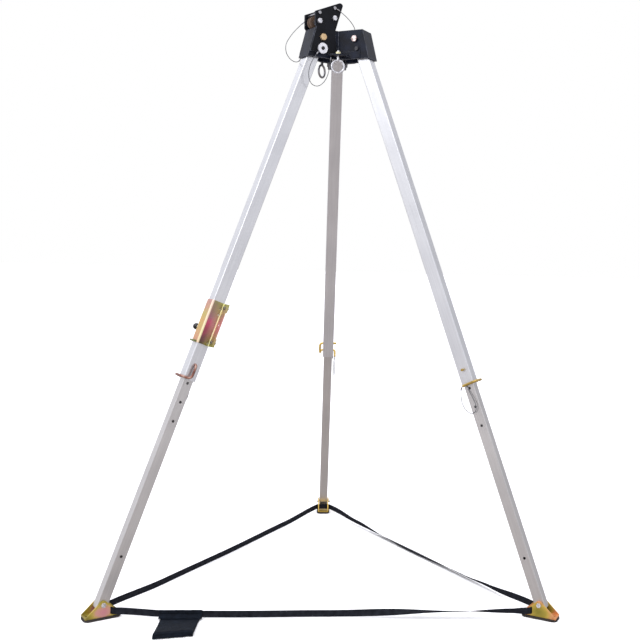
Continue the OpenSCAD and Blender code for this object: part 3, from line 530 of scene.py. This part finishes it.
def woven(name, dark, pale, rib_mm, thread_mm, gloss):
    """Two crossing waves in UV metres, ribs and threads. The height is ribs + ribs times threads."""
    finish, tree, shader = new_finish(name)
    where = add_node(tree, "ShaderNodeTexCoord")
    split = add_node(tree, "ShaderNodeSeparateXYZ", {"Vector": where.outputs["UV"]})
    waves = []
    for axis, pitch in (("X", rib_mm), ("Y", thread_mm)):
        phase = add_node(tree, "ShaderNodeMath", {0: split.outputs[axis], 1: 2 * np.pi * MM / pitch},
                         operation="MULTIPLY")
        wave = add_node(tree, "ShaderNodeMath", {0: phase.outputs["Value"]}, operation="SINE")
        waves.append(wave.outputs["Value"])
    ribs, threads = waves
    weave = add_node(tree, "ShaderNodeMath", {0: ribs, 1: threads}, operation="MULTIPLY")
    fuzz = add_node(tree, "ShaderNodeTexNoise", {
        "Vector": where.outputs["UV"], "Scale": MM / FUZZ_MM, "Detail": 4.0})
    tone = add_node(tree, "ShaderNodeValToRGB", {"Fac": fuzz.outputs["Fac"]},
                    stops=[(0.35, dark), (0.7, pale)])
    lift = add_node(tree, "ShaderNodeMath", {0: ribs, 1: weave.outputs["Value"]}, operation="ADD")
    bump = add_node(tree, "ShaderNodeBump", {
        "Height": lift.outputs["Value"], "Strength": 0.5, "Distance": 0.0002})
    feed(tree, shader, {"Base Color": tone.outputs["Color"], "Normal": bump.outputs["Normal"],
                        "Roughness": 0.6, "Specular IOR Level": gloss})
    return finish


webbing = woven("woven_black_webbing", "17181d", "24262c", 2.4, 1.2, 0.02)
pouch_cloth = woven("coated_black_nylon", "0c1017", "141a24", 1.4, 1.4, 0.06)
print("woven finishes made")

# %% [markdown]
# ## Finishes on the CAD pieces
# A CAD piece whose shape is right keeps its mesh and only gets a finish. One table pairs the two.

# %% Dress the CAD pieces
DRESS = {
    "head_frame": powder_coat, "corner_plates": powder_coat, "bracket_plates": plate_coat_painted_shade,
    "corner_bolts": dark_bolt, "eye_bolt_front": bright_zinc, "eye_bolt_left": dull_zinc,
    "eye_nuts": pale_brass,
    "pulley_axles": bright_zinc, "keeper_bolts": dull_zinc, "pulley_spacers": dull_zinc,
    "pulley_outer": nylon_brown, "pulley_inner": nylon_brown,
    "pivot_bolt_left": brass_yellow, "pivot_bolts": pink_steel, "pivot_nuts": dull_zinc,
    "pivot_spacers": dull_zinc, "quick_pin": chrome, "quick_pin_button": black_moulding,
    "winch_bracket": winch_zinc, "winch_clamps": winch_zinc, "clamp_bolts": dull_zinc,
    "plunger_seat_nut": bright_zinc, "plunger_pin": bright_zinc, "plunger_knob": gloss_knob,
}
for side in SIDES:
    DRESS |= {
        "upper_leg_" + side: aluminium["upper", side], "lower_leg_" + side: aluminium["lower", side],
        "pivot_bush_" + side: bronze, "leg_glide_" + side: black_moulding,
        "lock_pin_" + side: pin_zinc[side], "foot_bracket_" + side: foot_zinc[side],
        "foot_pad_" + side: rubber, "ankle_bolt_" + side: bright_zinc,
    }
for name, finish in DRESS.items():
    nodes[name].data.materials.clear()
    nodes[name].data.materials.append(finish)
print("dressed", len(DRESS), "of", len(nodes), "CAD pieces; the rest are replaced below")

# %% [markdown]
# ## Rounded edges
# Sawn plate, bent sheet and bolt heads have small rounds, and these catch the light as thin bright lines. A
# Weld modifier joins the CAD mesh's face borders, then a Bevel rounds every edge sharper than 35 degrees. CAD
# faces are cut into triangles, and a bevel that slides along those cuts would fold over, so sliding is off.
# Weighted normals keep the flat faces flat. On the coated plates the rounds get a paler material, a painted
# highlight along the edges.

# %% Bevel plates and bolts
SAME_PLACE = 1e-5
SHARP_EDGE = np.radians(35.0)
ROUND_MM = {
    "head_frame": 1.1, "corner_plates": 0.5, "bracket_plates": 0.9, "winch_bracket": 0.5, "winch_clamps": 0.7,
    "pulley_axles": 0.7, "keeper_bolts": 0.5, "pivot_bolt_left": 0.9, "pivot_bolts": 0.9, "pivot_nuts": 0.8,
    "corner_bolts": 0.6, "eye_nuts": 0.7, "clamp_bolts": 0.5, "quick_pin": 0.6, "quick_pin_button": 0.8,
    "plunger_seat_nut": 0.6,
}
ROUND_MM |= {f"{piece}_{side}": size for side in SIDES
             for piece, size in (("foot_bracket", 0.8), ("foot_pad", 1.5), ("ankle_bolt", 0.6))}
for name, size in ROUND_MM.items():
    weld = nodes[name].modifiers.new("join_face_borders", "WELD")
    weld.merge_threshold = SAME_PLACE
    rounds = nodes[name].modifiers.new("rounded_edges", "BEVEL")
    rounds.width = size / MM
    rounds.segments = 2
    rounds.limit_method = "ANGLE"
    rounds.angle_limit = SHARP_EDGE
    rounds.loop_slide = False
    rounds.use_clamp_overlap = False
    # on coated pieces the rounds get the paler coat, a painted highlight along the edges
    if nodes[name].data.materials[0] in (powder_coat, plate_coat_painted_shade):
        nodes[name].data.materials.append(coat_edge_highlight)
        rounds.material = 1
    even = nodes[name].modifiers.new("even_shading", "WEIGHTED_NORMAL")
    even.keep_sharp = True
print("rounded the edges of", len(ROUND_MM), "pieces")

# %% [markdown]
# ## Wire lanyards
# The lanyards are 3 mm galvanised wire rope: six strands laid round a core. A ring whose radius rises and
# falls six times, turned steadily along the path, gives the twisted strands. The routes repeat the CAD
# source's points. Both ends have a crimped ferrule.

# %% Lanyard shapes
WIRE, STRANDS, STRAND_RISE, LAY_LENGTH = 0.003, 6, 0.1, 0.020
WIRE_STEPS, WIRE_SIDES = 14, 24
ROUTES = {
    "pin": [[-8, -23, -63], [-6, -24, -74], [-2, -26, -90], [3, -28, -112], [7, -30, -138], [4, -31, -158],
            [-9, -32, -170], [-24, -32, -167], [-37, -33, -150], [-43, -33, -126], [-40, -33, -100],
            [-34, -33, -80], [-28, -33, -67], [-21, -33, -61]],
    "rear": [[39, -43, 74], [52, -42, 62], [72, -40, 42], [94, -37, 18], [112, -34, -6], [126, -32, -30],
             [130, -30, -52], [124, -30, -74], [110, -31, -90], [92, -33, -99], [74, -36, -99],
             [62, -37, -92], [56, -37, -82]],
    "front": [[-59, 49, 126], [-66, 49, 123], [-78, 49, 117], [-92, 48, 110], [-107, 47, 102], [-122, 46, 92],
              [-136, 46, 80], [-148, 46, 66], [-154, 46, 52], [-156, 46, 38]],
    "quick_pin": [[21, 52, -62], [32, 53, -76], [46, 53, -96], [58, 53, -120], [65, 53, -148], [64, 53, -176],
                  [52, 53, -197], [32, 53, -205], [10, 52, -199], [-12, 51, -178], [-26, 50, -150],
                  [-34, 49, -118], [-38, 48, -92], [-40, 48, -72]],
}


def wire_rope(name, route_mm, where):
    """Rings along the smooth route; radius = half the diameter * (0.9 + 0.1 cos(strands * (angle - turn))),
    where the turn is a full circle for each lay length."""
    path = smooth_path(placed(route_mm, where), WIRE_STEPS)
    along = distance_along(path)
    angle = around(len(path), WIRE_SIDES)
    turn = 2 * np.pi * along[:, None] / LAY_LENGTH
    radius = WIRE / 2 * (1.0 - STRAND_RISE + STRAND_RISE * np.cos(STRANDS * (angle - turn)))
    rings = swept(path, radius, angle, where[1][1])
    return grid_piece(name, rings, paired(along, angle), wire_steel), path


# %% Ferrule shape
FERRULE, FERRULE_IN, FERRULE_R = 0.013, 0.004, 0.0029
FERRULE_RINGS, FERRULE_SIDES = 25, 20
CRIMP_DEEP, CRIMP_AT, CRIMP_WIDE = 0.12, 0.4, 0.13
MOUTH_POWER, MOUTH_LEAST = 12, 0.12


def ferrule(name, path, start, reference):
    """A crimped sleeve on the path from start. With s from -1 to 1 along it, its radius is 2.9 mm * the root
    of (1 - s ** 12), less a shallow bell-shaped crimp at s = -0.4 and 0.4 on two sides."""
    at = start + FERRULE * np.linspace(0.0, 1.0, FERRULE_RINGS)
    share = np.linspace(-1.0, 1.0, FERRULE_RINGS)[:, None]
    angle = around(FERRULE_RINGS, FERRULE_SIDES)
    crimp = CRIMP_DEEP * np.exp(-((np.abs(share) - CRIMP_AT) / CRIMP_WIDE) ** 2)
    mouth = np.sqrt(np.clip(1.0 - share ** MOUTH_POWER, MOUTH_LEAST, 1.0))
    radius = FERRULE_R * mouth * (1.0 - crimp * np.abs(np.cos(angle)))
    middle = between(at, distance_along(path), path)
    return grid_piece(name, swept(middle, radius, angle, reference), paired(at, angle), dull_zinc)


cords = [("lanyard_" + key, ROUTES[key], arm_frame("left")) for key in ("rear", "front", "quick_pin")]
cords += [("pin_lanyard_" + side, ROUTES["pin"], leg_frame(side, PIN_DOWN_LEG)) for side in SIDES]
for node, route, where in cords:
    rope, path = wire_rope(node + "_rope", route, where)
    long = float(distance_along(path)[-1])
    first_body = last_body = "head"
    if node == "lanyard_quick_pin":
        first_body = "quick_pin"
        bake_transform(rope)
    elif node.startswith("pin_"):
        first_body, last_body = node.replace("pin_lanyard", "upper"), node.replace("pin_lanyard", "pin")
        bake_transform(rope)
    else:
        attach(rope, "head")
    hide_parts(node)
    sleeves = [ferrule(node + "_ferrule_a", path, FERRULE_IN, where[1][1]),
               ferrule(node + "_ferrule_b", path, long - FERRULE_IN - FERRULE, where[1][1])]
    for sleeve, body in zip(sleeves, (first_body, last_body)):
        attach(sleeve, body)
    print(node, "is", round(long * MM), "mm of wire")

# %% [markdown]
# ## Base strap
# One band of 25 mm webbing runs through all three feet. It stands on edge in the slots and sags between them.
# Slack webbing twists, so the front run turns over near the right foot, and the right run nearly lies down on
# its way. The path in plan is a polyline with corners rounded by a running mean; the band's cross-section is
# carried along it and turned by the twist. Each run is cut where it passes from one moving body to the next.

# %% Strap path
SLOT_R = 0.909072
TURN_OUT = 0.0305
STEP = 0.003
MEAN_POINTS = 7


def strap_path(start_side, end_side):
    """Points every 3 mm along the run in plan, from one foot's middle to the next. A running mean over 7
    points, taken twice, rounds the corners; points mirrored at the ends keep those in place."""
    a, b = (np.array([np.cos(t), np.sin(t)]) for t in np.radians([SIDES[start_side], SIDES[end_side]]))
    left = np.array([[0.0, 1.0], [-1.0, 0.0]])
    corner = AXIS_XY + np.array([SLOT_R * a, SLOT_R * a + TURN_OUT * a @ left,
                                 SLOT_R * b - TURN_OUT * b @ left, SLOT_R * b])
    along = distance_along(corner)
    at = np.linspace(0.0, along[-1], int(along[-1] / STEP) + 1)
    flat = between(at, along, corner)
    reach = MEAN_POINTS - 1
    before = flat[:1] + (flat[:1] - flat[reach:0:-1])
    after = flat[-1:] + (flat[-1:] - flat[-2:-2 - reach:-1])
    line = np.vstack([before, flat, after])
    kernel = np.ones(MEAN_POINTS) / MEAN_POINTS
    for _ in range(2):
        line = np.stack([np.convolve(column, kernel, mode="valid") for column in line.T], axis=1)
    return line, at


# %% Strap band
WEB_W, WEB_T = 0.025, 0.002
HALF_POINTS = 8
SELVEDGE, EDGE_THIN, EDGE_FROM = 0.12, 0.35, 0.99


def eased(at, knots):
    """Values between knots (place in metres, value), joined by smooth steps."""
    place, value = np.array(knots, float).T
    i = np.clip(np.searchsorted(place, at, side="right") - 1, 0, len(place) - 2)
    t = np.clip((at - place[i]) / (place[i + 1] - place[i]), 0.0, 1.0)
    return value[i] + (value[i + 1] - value[i]) * t * t * (3 - 2 * t)


def band_profile():
    """With v from 1 to -1 across the band: half the width times v, half the thickness times 1 + 0.12 v ** 6
    for the fuller selvedges, thin at the very edge; 16 points round the band."""
    v = np.cos(np.linspace(0.0, np.pi, HALF_POINTS))
    thick = WEB_T / 2 * np.where(np.abs(v) > EDGE_FROM, EDGE_THIN, 1.0 + SELVEDGE * v ** 6)
    wide = v * WEB_W / 2
    return np.vstack([np.column_stack([wide, thick]), np.column_stack([wide, -thick])[::-1]])


def band(flat, at, height, twist):
    """The profile's width runs along cos(twist) up + sin(twist) sideways, its thickness square to that."""
    tangent = unit(np.gradient(flat, axis=0))
    side = np.column_stack([-tangent[:, 1], tangent[:, 0], np.zeros(len(flat))])
    wide = np.cos(twist)[:, None] * UP + np.sin(twist)[:, None] * side
    thin = np.cos(twist)[:, None] * side - np.sin(twist)[:, None] * UP
    profile = band_profile()[None, :, :]
    centre = np.column_stack([flat, height])
    grid = centre[:, None, :] + profile[..., :1] * wide[:, None, :] + profile[..., 1:] * thin[:, None, :]
    return grid, paired(at, profile[..., 0])


# %% Make the strap runs
HALF_TURN = np.pi
SAG = {
    "strap_front": [(0.0, 27.5), (0.04, 27.5), (0.26, 16.0), (0.5, 15.5), (0.8, 18.0), (1.2, 25.0),
                    (1.5, 27.5), (1.6, 27.5)],
    "strap_left": [(0.0, 27.5), (0.05, 27.5), (0.35, 17.0), (0.8, 13.6), (1.25, 16.0), (1.57, 27.5),
                   (1.6, 27.5)],
    "strap_right": [(0.0, 27.5), (0.05, 27.5), (0.3, 15.0), (0.45, 9.5), (0.85, 5.5), (1.02, 8.5),
                    (1.3, 17.0), (1.52, 27.5), (1.6, 27.5)],
}
TWIST = {
    "strap_front": [(0.0, 0.0), (0.85, 0.0), (1.31, 0.6), (1.5, 0.84), (1.56, 1.0), (1.6, 1.0)],
    "strap_left": [(0.0, 0.0), (0.4, 0.0), (0.8, 0.03), (1.6, 0.0)],
    "strap_right": [(0.0, 0.0), (0.08, 0.0), (0.45, 0.317), (0.85, 0.46), (1.02, 0.36), (1.3, 0.12),
                    (1.5, 0.0), (1.6, 0.0)],
}
RUNS = {"strap_front": ("left", "right"), "strap_left": ("back", "left"), "strap_right": ("right", "back")}
CUTS = {"plain": (0.07, 0.30), "pouch": (0.06, 0.18)}
strap_lines = {}
for run, (first, last) in RUNS.items():
    flat, at = strap_path(first, last)
    height = eased(at, SAG[run]) / MM
    grid, uv = band(flat, at, height, HALF_TURN * eased(at, TWIST[run]))
    line = np.column_stack([flat, height])
    strap_lines[run] = (line, at)
    middle, final = len(at) // 2, len(at) - 1
    for side, order in ((first, 1), (last, -1)):
        kind = "pouch" if (run, side) == ("strap_front", "left") else "plain"
        cuts = [0] + [int(round(cut / STEP)) for cut in CUTS[kind]]
        marks = (cuts if order > 0 else [final - cut for cut in cuts]) + [middle]
        for k, (near, far) in enumerate(zip(marks, marks[1:])):
            rows = slice(min(near, far), max(near, far) + 1)
            piece = grid_piece(f"{run}_{side}_{k}", grid[rows], uv[rows], webbing)
            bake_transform(piece)
            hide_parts(run)
    print(run, "is", round(at[-1], 3), "m of webbing")

# %% [markdown]
# ## Strap pouch
# A nylon sleeve is sewn round the front run, and a flat bag hangs from it and lies on the floor. The sleeve
# is a sheet wrapped round the band, and its lower front edge lifts a little off the bag. The bag is a soft
# closed form: its top panel rises to a bound fold, then a low front panel drops to the floor. Both are closed
# outlines in side view, carried along the strap. Averaging neighbouring points rounds their corners.

# %% Outline helpers
POUCH_MID, POUCH_LEN = -0.523, 0.154
WAVES = 5
front_line, front_at = strap_lines["strap_front"]


def soft_noise(u, v, seed, size):
    """Smooth unevenness: the mean of five waves with directions and phases from a seeded draw."""
    draw = np.random.default_rng(seed)
    total = np.zeros(np.broadcast(u, v).shape)
    for _ in range(WAVES):
        way, phase, fine = draw.uniform(0, 2 * np.pi), draw.uniform(0, 2 * np.pi), draw.uniform(0.6, 1.6)
        total = total + np.sin(2 * np.pi * fine * (u * np.cos(way) + v * np.sin(way)) / size + phase)
    return total / WAVES


def rounded_outline(points_mm, count, rounds):
    """Points evenly spaced round a closed outline, in metres, averaged a few times: half of each point plus a
    quarter of each neighbour."""
    closed = np.array(points_mm + points_mm[:1]) / MM
    along = distance_along(closed)
    at = np.linspace(0.0, along[-1], count, endpoint=False)
    ring = between(at, along, closed)
    for _ in range(rounds):
        ring = 0.25 * np.roll(ring, 1, axis=0) + 0.5 * ring + 0.25 * np.roll(ring, -1, axis=0)
    return ring, at


# %% Sleeve surface
SLEEVE_SIDE_MM = [(3.6, 1.4), (3.8, 30.0), (0.0, 31.2), (-3.8, 30.0), (-5.0, 17.0), (-12.0, 10.5),
                  (-24.0, 8.0), (-23.5, 6.6), (-12.0, 6.0), (-4.0, 1.4)]
SLEEVE_ROWS, SLEEVE_COLUMNS, SLEEVE_ROUNDS = 78, 72, 3
SLEEVE_SWELL, SLEEVE_RIPPLE, SLEEVE_LOWEST = 0.12, 0.0006, 0.0012


def sleeve_surface():
    """Along the strap and round the outline: the outline moves with the strap's place and swells unevenly."""
    x = POUCH_MID + POUCH_LEN * np.linspace(-0.5, 0.5, SLEEVE_ROWS)[:, None]
    ring, at = rounded_outline(SLEEVE_SIDE_MM, SLEEVE_COLUMNS, SLEEVE_ROUNDS)
    middle_y = np.interp(x, front_line[:, 0], front_line[:, 1])
    swell = 1.0 + SLEEVE_SWELL * soft_noise(x, at[None, :], seed=3, size=0.05)
    ripple = SLEEVE_RIPPLE * soft_noise(x, at[None, :], seed=5, size=0.06)
    y = middle_y + ring[None, :, 0] * swell
    z = np.maximum(ring[None, :, 1] + ripple, SLEEVE_LOWEST)
    return np.stack(np.broadcast_arrays(x, y, z), axis=-1), paired(x[:, 0], at[None, :]), at[-1]


# %% Bag surface
BAG_SIDE_MM = [(0.0, 1.2), (0.0, 3.6), (20.0, 4.8), (45.0, 11.0), (110.0, 16.0), (172.0, 21.6),
               (176.0, 20.0), (176.0, 1.2)]
BAG_ROWS, BAG_COLUMNS, BAG_ROUNDS = 74, 190, 5
BAG_HALF, BAG_TAPER, BAG_WAIST = 0.0712, 0.0035, 0.003
BAG_ASIDE, BAG_DRIFT = 0.0015, 0.003
BAG_BEHIND, BAG_REACH, BAG_SKEW = 0.006, 0.169, 0.0135
BAG_LIFT, END_POWER, END_DROP = 0.0008, 10, 0.3
TOP_FROM, TOP_DENT = 0.006, 0.003
FRONT_FROM, FRONT_DENT = 0.9, 0.0015
CLOTH_HALF, CLOTH_REACH = 0.07, 0.17


def bag_surface():
    """Along the bag's width (u from -1 to 1) and round its side outline. The reach is longer on the left, the
    sides pull in between the corners and drop at the ends by the root of (1 - |u| ** 10), and the filling
    lifts and dents the top and front panels."""
    u = np.sin(np.linspace(-np.pi / 2, np.pi / 2, BAG_ROWS))[:, None]
    ring, at = rounded_outline(BAG_SIDE_MM, BAG_COLUMNS, BAG_ROUNDS)
    back = np.interp(POUCH_MID, front_line[:, 0], front_line[:, 1]) - BAG_BEHIND
    forward = ring[None, :, 0] / ring[:, 0].max()
    height = ring[None, :, 1]
    belly = np.sin(np.pi * np.clip(forward, 0.0, 1.0)) ** 0.5
    top = np.clip((height - TOP_FROM) / TOP_FROM, 0.0, 1.0) * belly
    ends = np.sqrt(np.clip(1.0 - np.abs(u) ** END_POWER, 0.0, 1.0))
    dent = TOP_DENT * soft_noise(u * CLOTH_HALF, forward * CLOTH_REACH, seed=11, size=0.08)
    uneven = FRONT_DENT * soft_noise(u * CLOTH_HALF, height, seed=13, size=0.05) * (forward > FRONT_FROM)
    half = BAG_HALF - BAG_TAPER * forward - BAG_WAIST * belly
    x = POUCH_MID + BAG_ASIDE + half * u - BAG_DRIFT * forward
    y = back - (BAG_REACH - BAG_SKEW * u) * forward - uneven
    z = BAG_LIFT + height * (1.0 - END_DROP + END_DROP * ends) + dent * top * ends
    grid = np.stack(np.broadcast_arrays(x, y, z), axis=-1)
    return grid, np.stack(np.broadcast_arrays(x, at[None, :]), axis=-1)


# %% Pouch binding and stitches
BINDING, BINDING_SIDES, BINDING_LIFT = 0.0015, 10, 0.0004
BINDING_EVERY = BINDING_STEPS = 3
STITCH_MM, STITCH_PITCH_MM, THREAD_MM = 2.6, 3.8, 0.45
STITCH_POINTS, POLE_GAP = 6, 0.02


def binding_path(grid):
    """Along the right side of the bag's top, across its fold and back along the left side."""
    middle = grid[len(grid) // 2]
    fold = int(np.argmax(middle[:, 2]))
    first = int(np.argmin(np.abs(middle[:fold, 1] - middle[:, 1].max()) - middle[:fold, 2]))
    turn = np.vstack([grid[-1, first:fold - 1], grid[-3:2:-1, fold], grid[0, fold - 2:first:-1]])
    return turn[::BINDING_EVERY] + BINDING_LIFT * UP


def stitches(name, line, material):
    """Short rounded threads laid along a line: each is an ellipsoid of 6 by 6 points, all in one mesh."""
    along = distance_along(line)
    at = np.arange(STITCH_PITCH_MM / 2, along[-1] * MM, STITCH_PITCH_MM) / MM
    centre = between(at, along, line)
    tangent = unit(between(at, along, np.gradient(line, along, axis=0)))
    polar = np.linspace(POLE_GAP, np.pi - POLE_GAP, STITCH_POINTS)[:, None]
    turn = around(1, STITCH_POINTS)
    shape = np.stack(np.broadcast_arrays(
        STITCH_MM / 2 * np.cos(polar), THREAD_MM / 2 * np.sin(polar) * np.cos(turn),
        THREAD_MM / 2 * np.sin(polar) * np.sin(turn)), axis=-1).reshape(-1, 3) / MM
    axes = np.stack([tangent, np.broadcast_to(UP, tangent.shape), np.cross(tangent, UP)], axis=1)
    points = centre[:, None, :] + np.einsum("pk,nkd->npd", shape, axes)
    index = np.arange(len(shape)).reshape(STITCH_POINTS, STITCH_POINTS)
    beside = np.roll(index, -1, axis=1)
    quads = np.stack([index[:-1], index[1:], beside[1:], beside[:-1]], axis=-1).reshape(-1, 4)
    poles = np.stack([index[0], index[-1, ::-1]])
    first = len(shape) * np.arange(len(centre))[:, None, None]
    faces = (quads + first).reshape(-1, 4).tolist() + (poles + first).reshape(-1, STITCH_POINTS).tolist()
    return mesh_piece(name, points.reshape(-1, 3), faces, material)


# %% Make the pouch
CLOTH_T = 0.0012
SEAMS = {"top": (-0.006, 0.012), "hem": (-0.014, -0.010)}
SEAM_LIFT = np.array([0.0, -0.0005, 0.0004])
thread = grained("black_nylon_thread", "2a2d34", "3a3e47", (0.5, 0.7), 1.0, 0.0)
sleeve_grid, sleeve_uv, sleeve_girth = sleeve_surface()
sleeve = grid_piece("pouch_sleeve", sleeve_grid, sleeve_uv, pouch_cloth, caps=False, sharp=70.0)
wall = sleeve.modifiers.new("cloth_thickness", "SOLIDIFY")
wall.thickness = CLOTH_T
bag_grid, bag_uv = bag_surface()
bag = grid_piece("pouch_bag", bag_grid, bag_uv, pouch_cloth, sharp=60.0)
edge_line = smooth_path(binding_path(bag_grid), BINDING_STEPS)
edge_angle = around(len(edge_line), BINDING_SIDES)
binding = grid_piece("pouch_binding", swept(edge_line, np.full(edge_angle.shape, BINDING), edge_angle, UP),
                     paired(distance_along(edge_line), edge_angle * BINDING), webbing)
outline = sleeve_grid[0, :, 1:]
seams = []
for place, target in SEAMS.items():
    away = np.linalg.norm(outline - outline.mean(axis=0) - target, axis=1)
    seam = sleeve_grid[2:-2, int(np.argmin(away))] + SEAM_LIFT
    seams.append(stitches(f"pouch_stitches_{place}", seam, thread))
print("pouch made; its sleeve is", round(sleeve_girth * MM), "mm round")

for piece in (sleeve, bag, binding, *seams):
    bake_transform(piece)
    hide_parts("strap_pouch")

# %% [markdown]
# ## Studio
# The photograph is a cut-out on white. A white floor under a sky that is bright overhead gives the same even
# light. The sky is brightest on the left, dimmest at the back on the right, and goes to a warm grey below the
# horizon, which shades the legs' faces as in the photograph. Metal would mirror the white floor, so the floor
# is hidden from glossy rays. One soft lamp from the front left adds the highlights.

# %% Floor
FLOOR_HALF = 60.0
corners = np.array([[-1, -1, 0], [1, -1, 0], [1, 1, 0], [-1, 1, 0]], float) * FLOOR_HALF
floor_finish, floor_tree, floor_shader = new_finish("pale_floor")
feed(floor_tree, floor_shader, {"Base Color": linear("fbfbfc"), "Roughness": 1.0, "Specular IOR Level": 0.0})
floor = mesh_piece("floor", corners, [[0, 1, 2, 3]], floor_finish)
floor.visible_glossy = False
print("floor made,", 2 * FLOOR_HALF, "m across")

# %% Sky
LEFT_LIGHT, RIGHT_FRONT_LIGHT, RIGHT_BACK_LIGHT = 0.97, 0.92, 0.55
OVERHEAD_LIGHT, BELOW_LIGHT = 2.6, 0.5
sky = bpy.data.worlds.new("white_sky")
bpy.context.scene.world = sky
sky.use_nodes = True
sky_tree = sky.node_tree
sky_tree.nodes.clear()
toward = add_node(sky_tree, "ShaderNodeTexCoord")
way = add_node(sky_tree, "ShaderNodeSeparateXYZ", {"Vector": toward.outputs["Generated"]})
right_light = add_node(sky_tree, "ShaderNodeMapRange", {
    "Value": way.outputs["Y"], "From Min": -0.7, "From Max": 0.7,
    "To Min": RIGHT_FRONT_LIGHT, "To Max": RIGHT_BACK_LIGHT})
level_light = add_node(sky_tree, "ShaderNodeMapRange", {
    "Value": way.outputs["X"], "From Min": -0.9, "From Max": 0.9,
    "To Min": LEFT_LIGHT, "To Max": right_light.outputs["Result"]})
overhead = add_node(sky_tree, "ShaderNodeMapRange", {
    "Value": way.outputs["Z"], "From Min": 0.3, "From Max": 0.9, "To Min": 1.0, "To Max": OVERHEAD_LIGHT},
    interpolation_type="SMOOTHSTEP")
below = add_node(sky_tree, "ShaderNodeMapRange", {
    "Value": way.outputs["Z"], "From Min": -0.5, "From Max": 0.12, "To Min": BELOW_LIGHT, "To Max": 1.0},
    interpolation_type="SMOOTHSTEP")
both = add_node(sky_tree, "ShaderNodeMath", {0: level_light.outputs["Result"], 1: overhead.outputs["Result"]},
                operation="MULTIPLY")
strength = add_node(sky_tree, "ShaderNodeMath", {0: both.outputs["Value"], 1: below.outputs["Result"]},
                    operation="MULTIPLY")
tint = add_node(sky_tree, "ShaderNodeValToRGB", {"Fac": below.outputs["Result"]},
                stops=[(0.3, "ffece2"), (0.9, "fafaff")])
lit = add_node(sky_tree, "ShaderNodeBackground", {
    "Color": tint.outputs["Color"], "Strength": strength.outputs["Value"]})
seen = add_node(sky_tree, "ShaderNodeBackground", {"Color": linear("ffffff"), "Strength": 1.0})
rays = add_node(sky_tree, "ShaderNodeLightPath")
mixed = add_node(sky_tree, "ShaderNodeMixShader", {
    0: rays.outputs["Is Camera Ray"], 1: lit.outputs["Background"], 2: seen.outputs["Background"]})
add_node(sky_tree, "ShaderNodeOutputWorld", {"Surface": mixed.outputs["Shader"]})
print("sky nodes:", len(sky_tree.nodes))

# %% Lamp
LAMP_SIZE, LAMP_WATTS = 2.5, 60.0
LAMP_PLACE, LAMP_AIM = Vector((-3.0, -3.6, 4.2)), Vector((0.0, -0.2, 1.0))
lamp = linked("key_lamp", bpy.data.lights.new("key_lamp", "AREA"))
lamp.data.size = LAMP_SIZE
lamp.data.energy = LAMP_WATTS
lamp.location = LAMP_PLACE
lamp.rotation_euler = (LAMP_AIM - LAMP_PLACE).to_track_quat("-Z", "Y").to_euler()
bpy.context.scene.view_settings.view_transform = "Standard"
print("lamp stands", round((LAMP_AIM - LAMP_PLACE).length, 2), "m from the tripod")
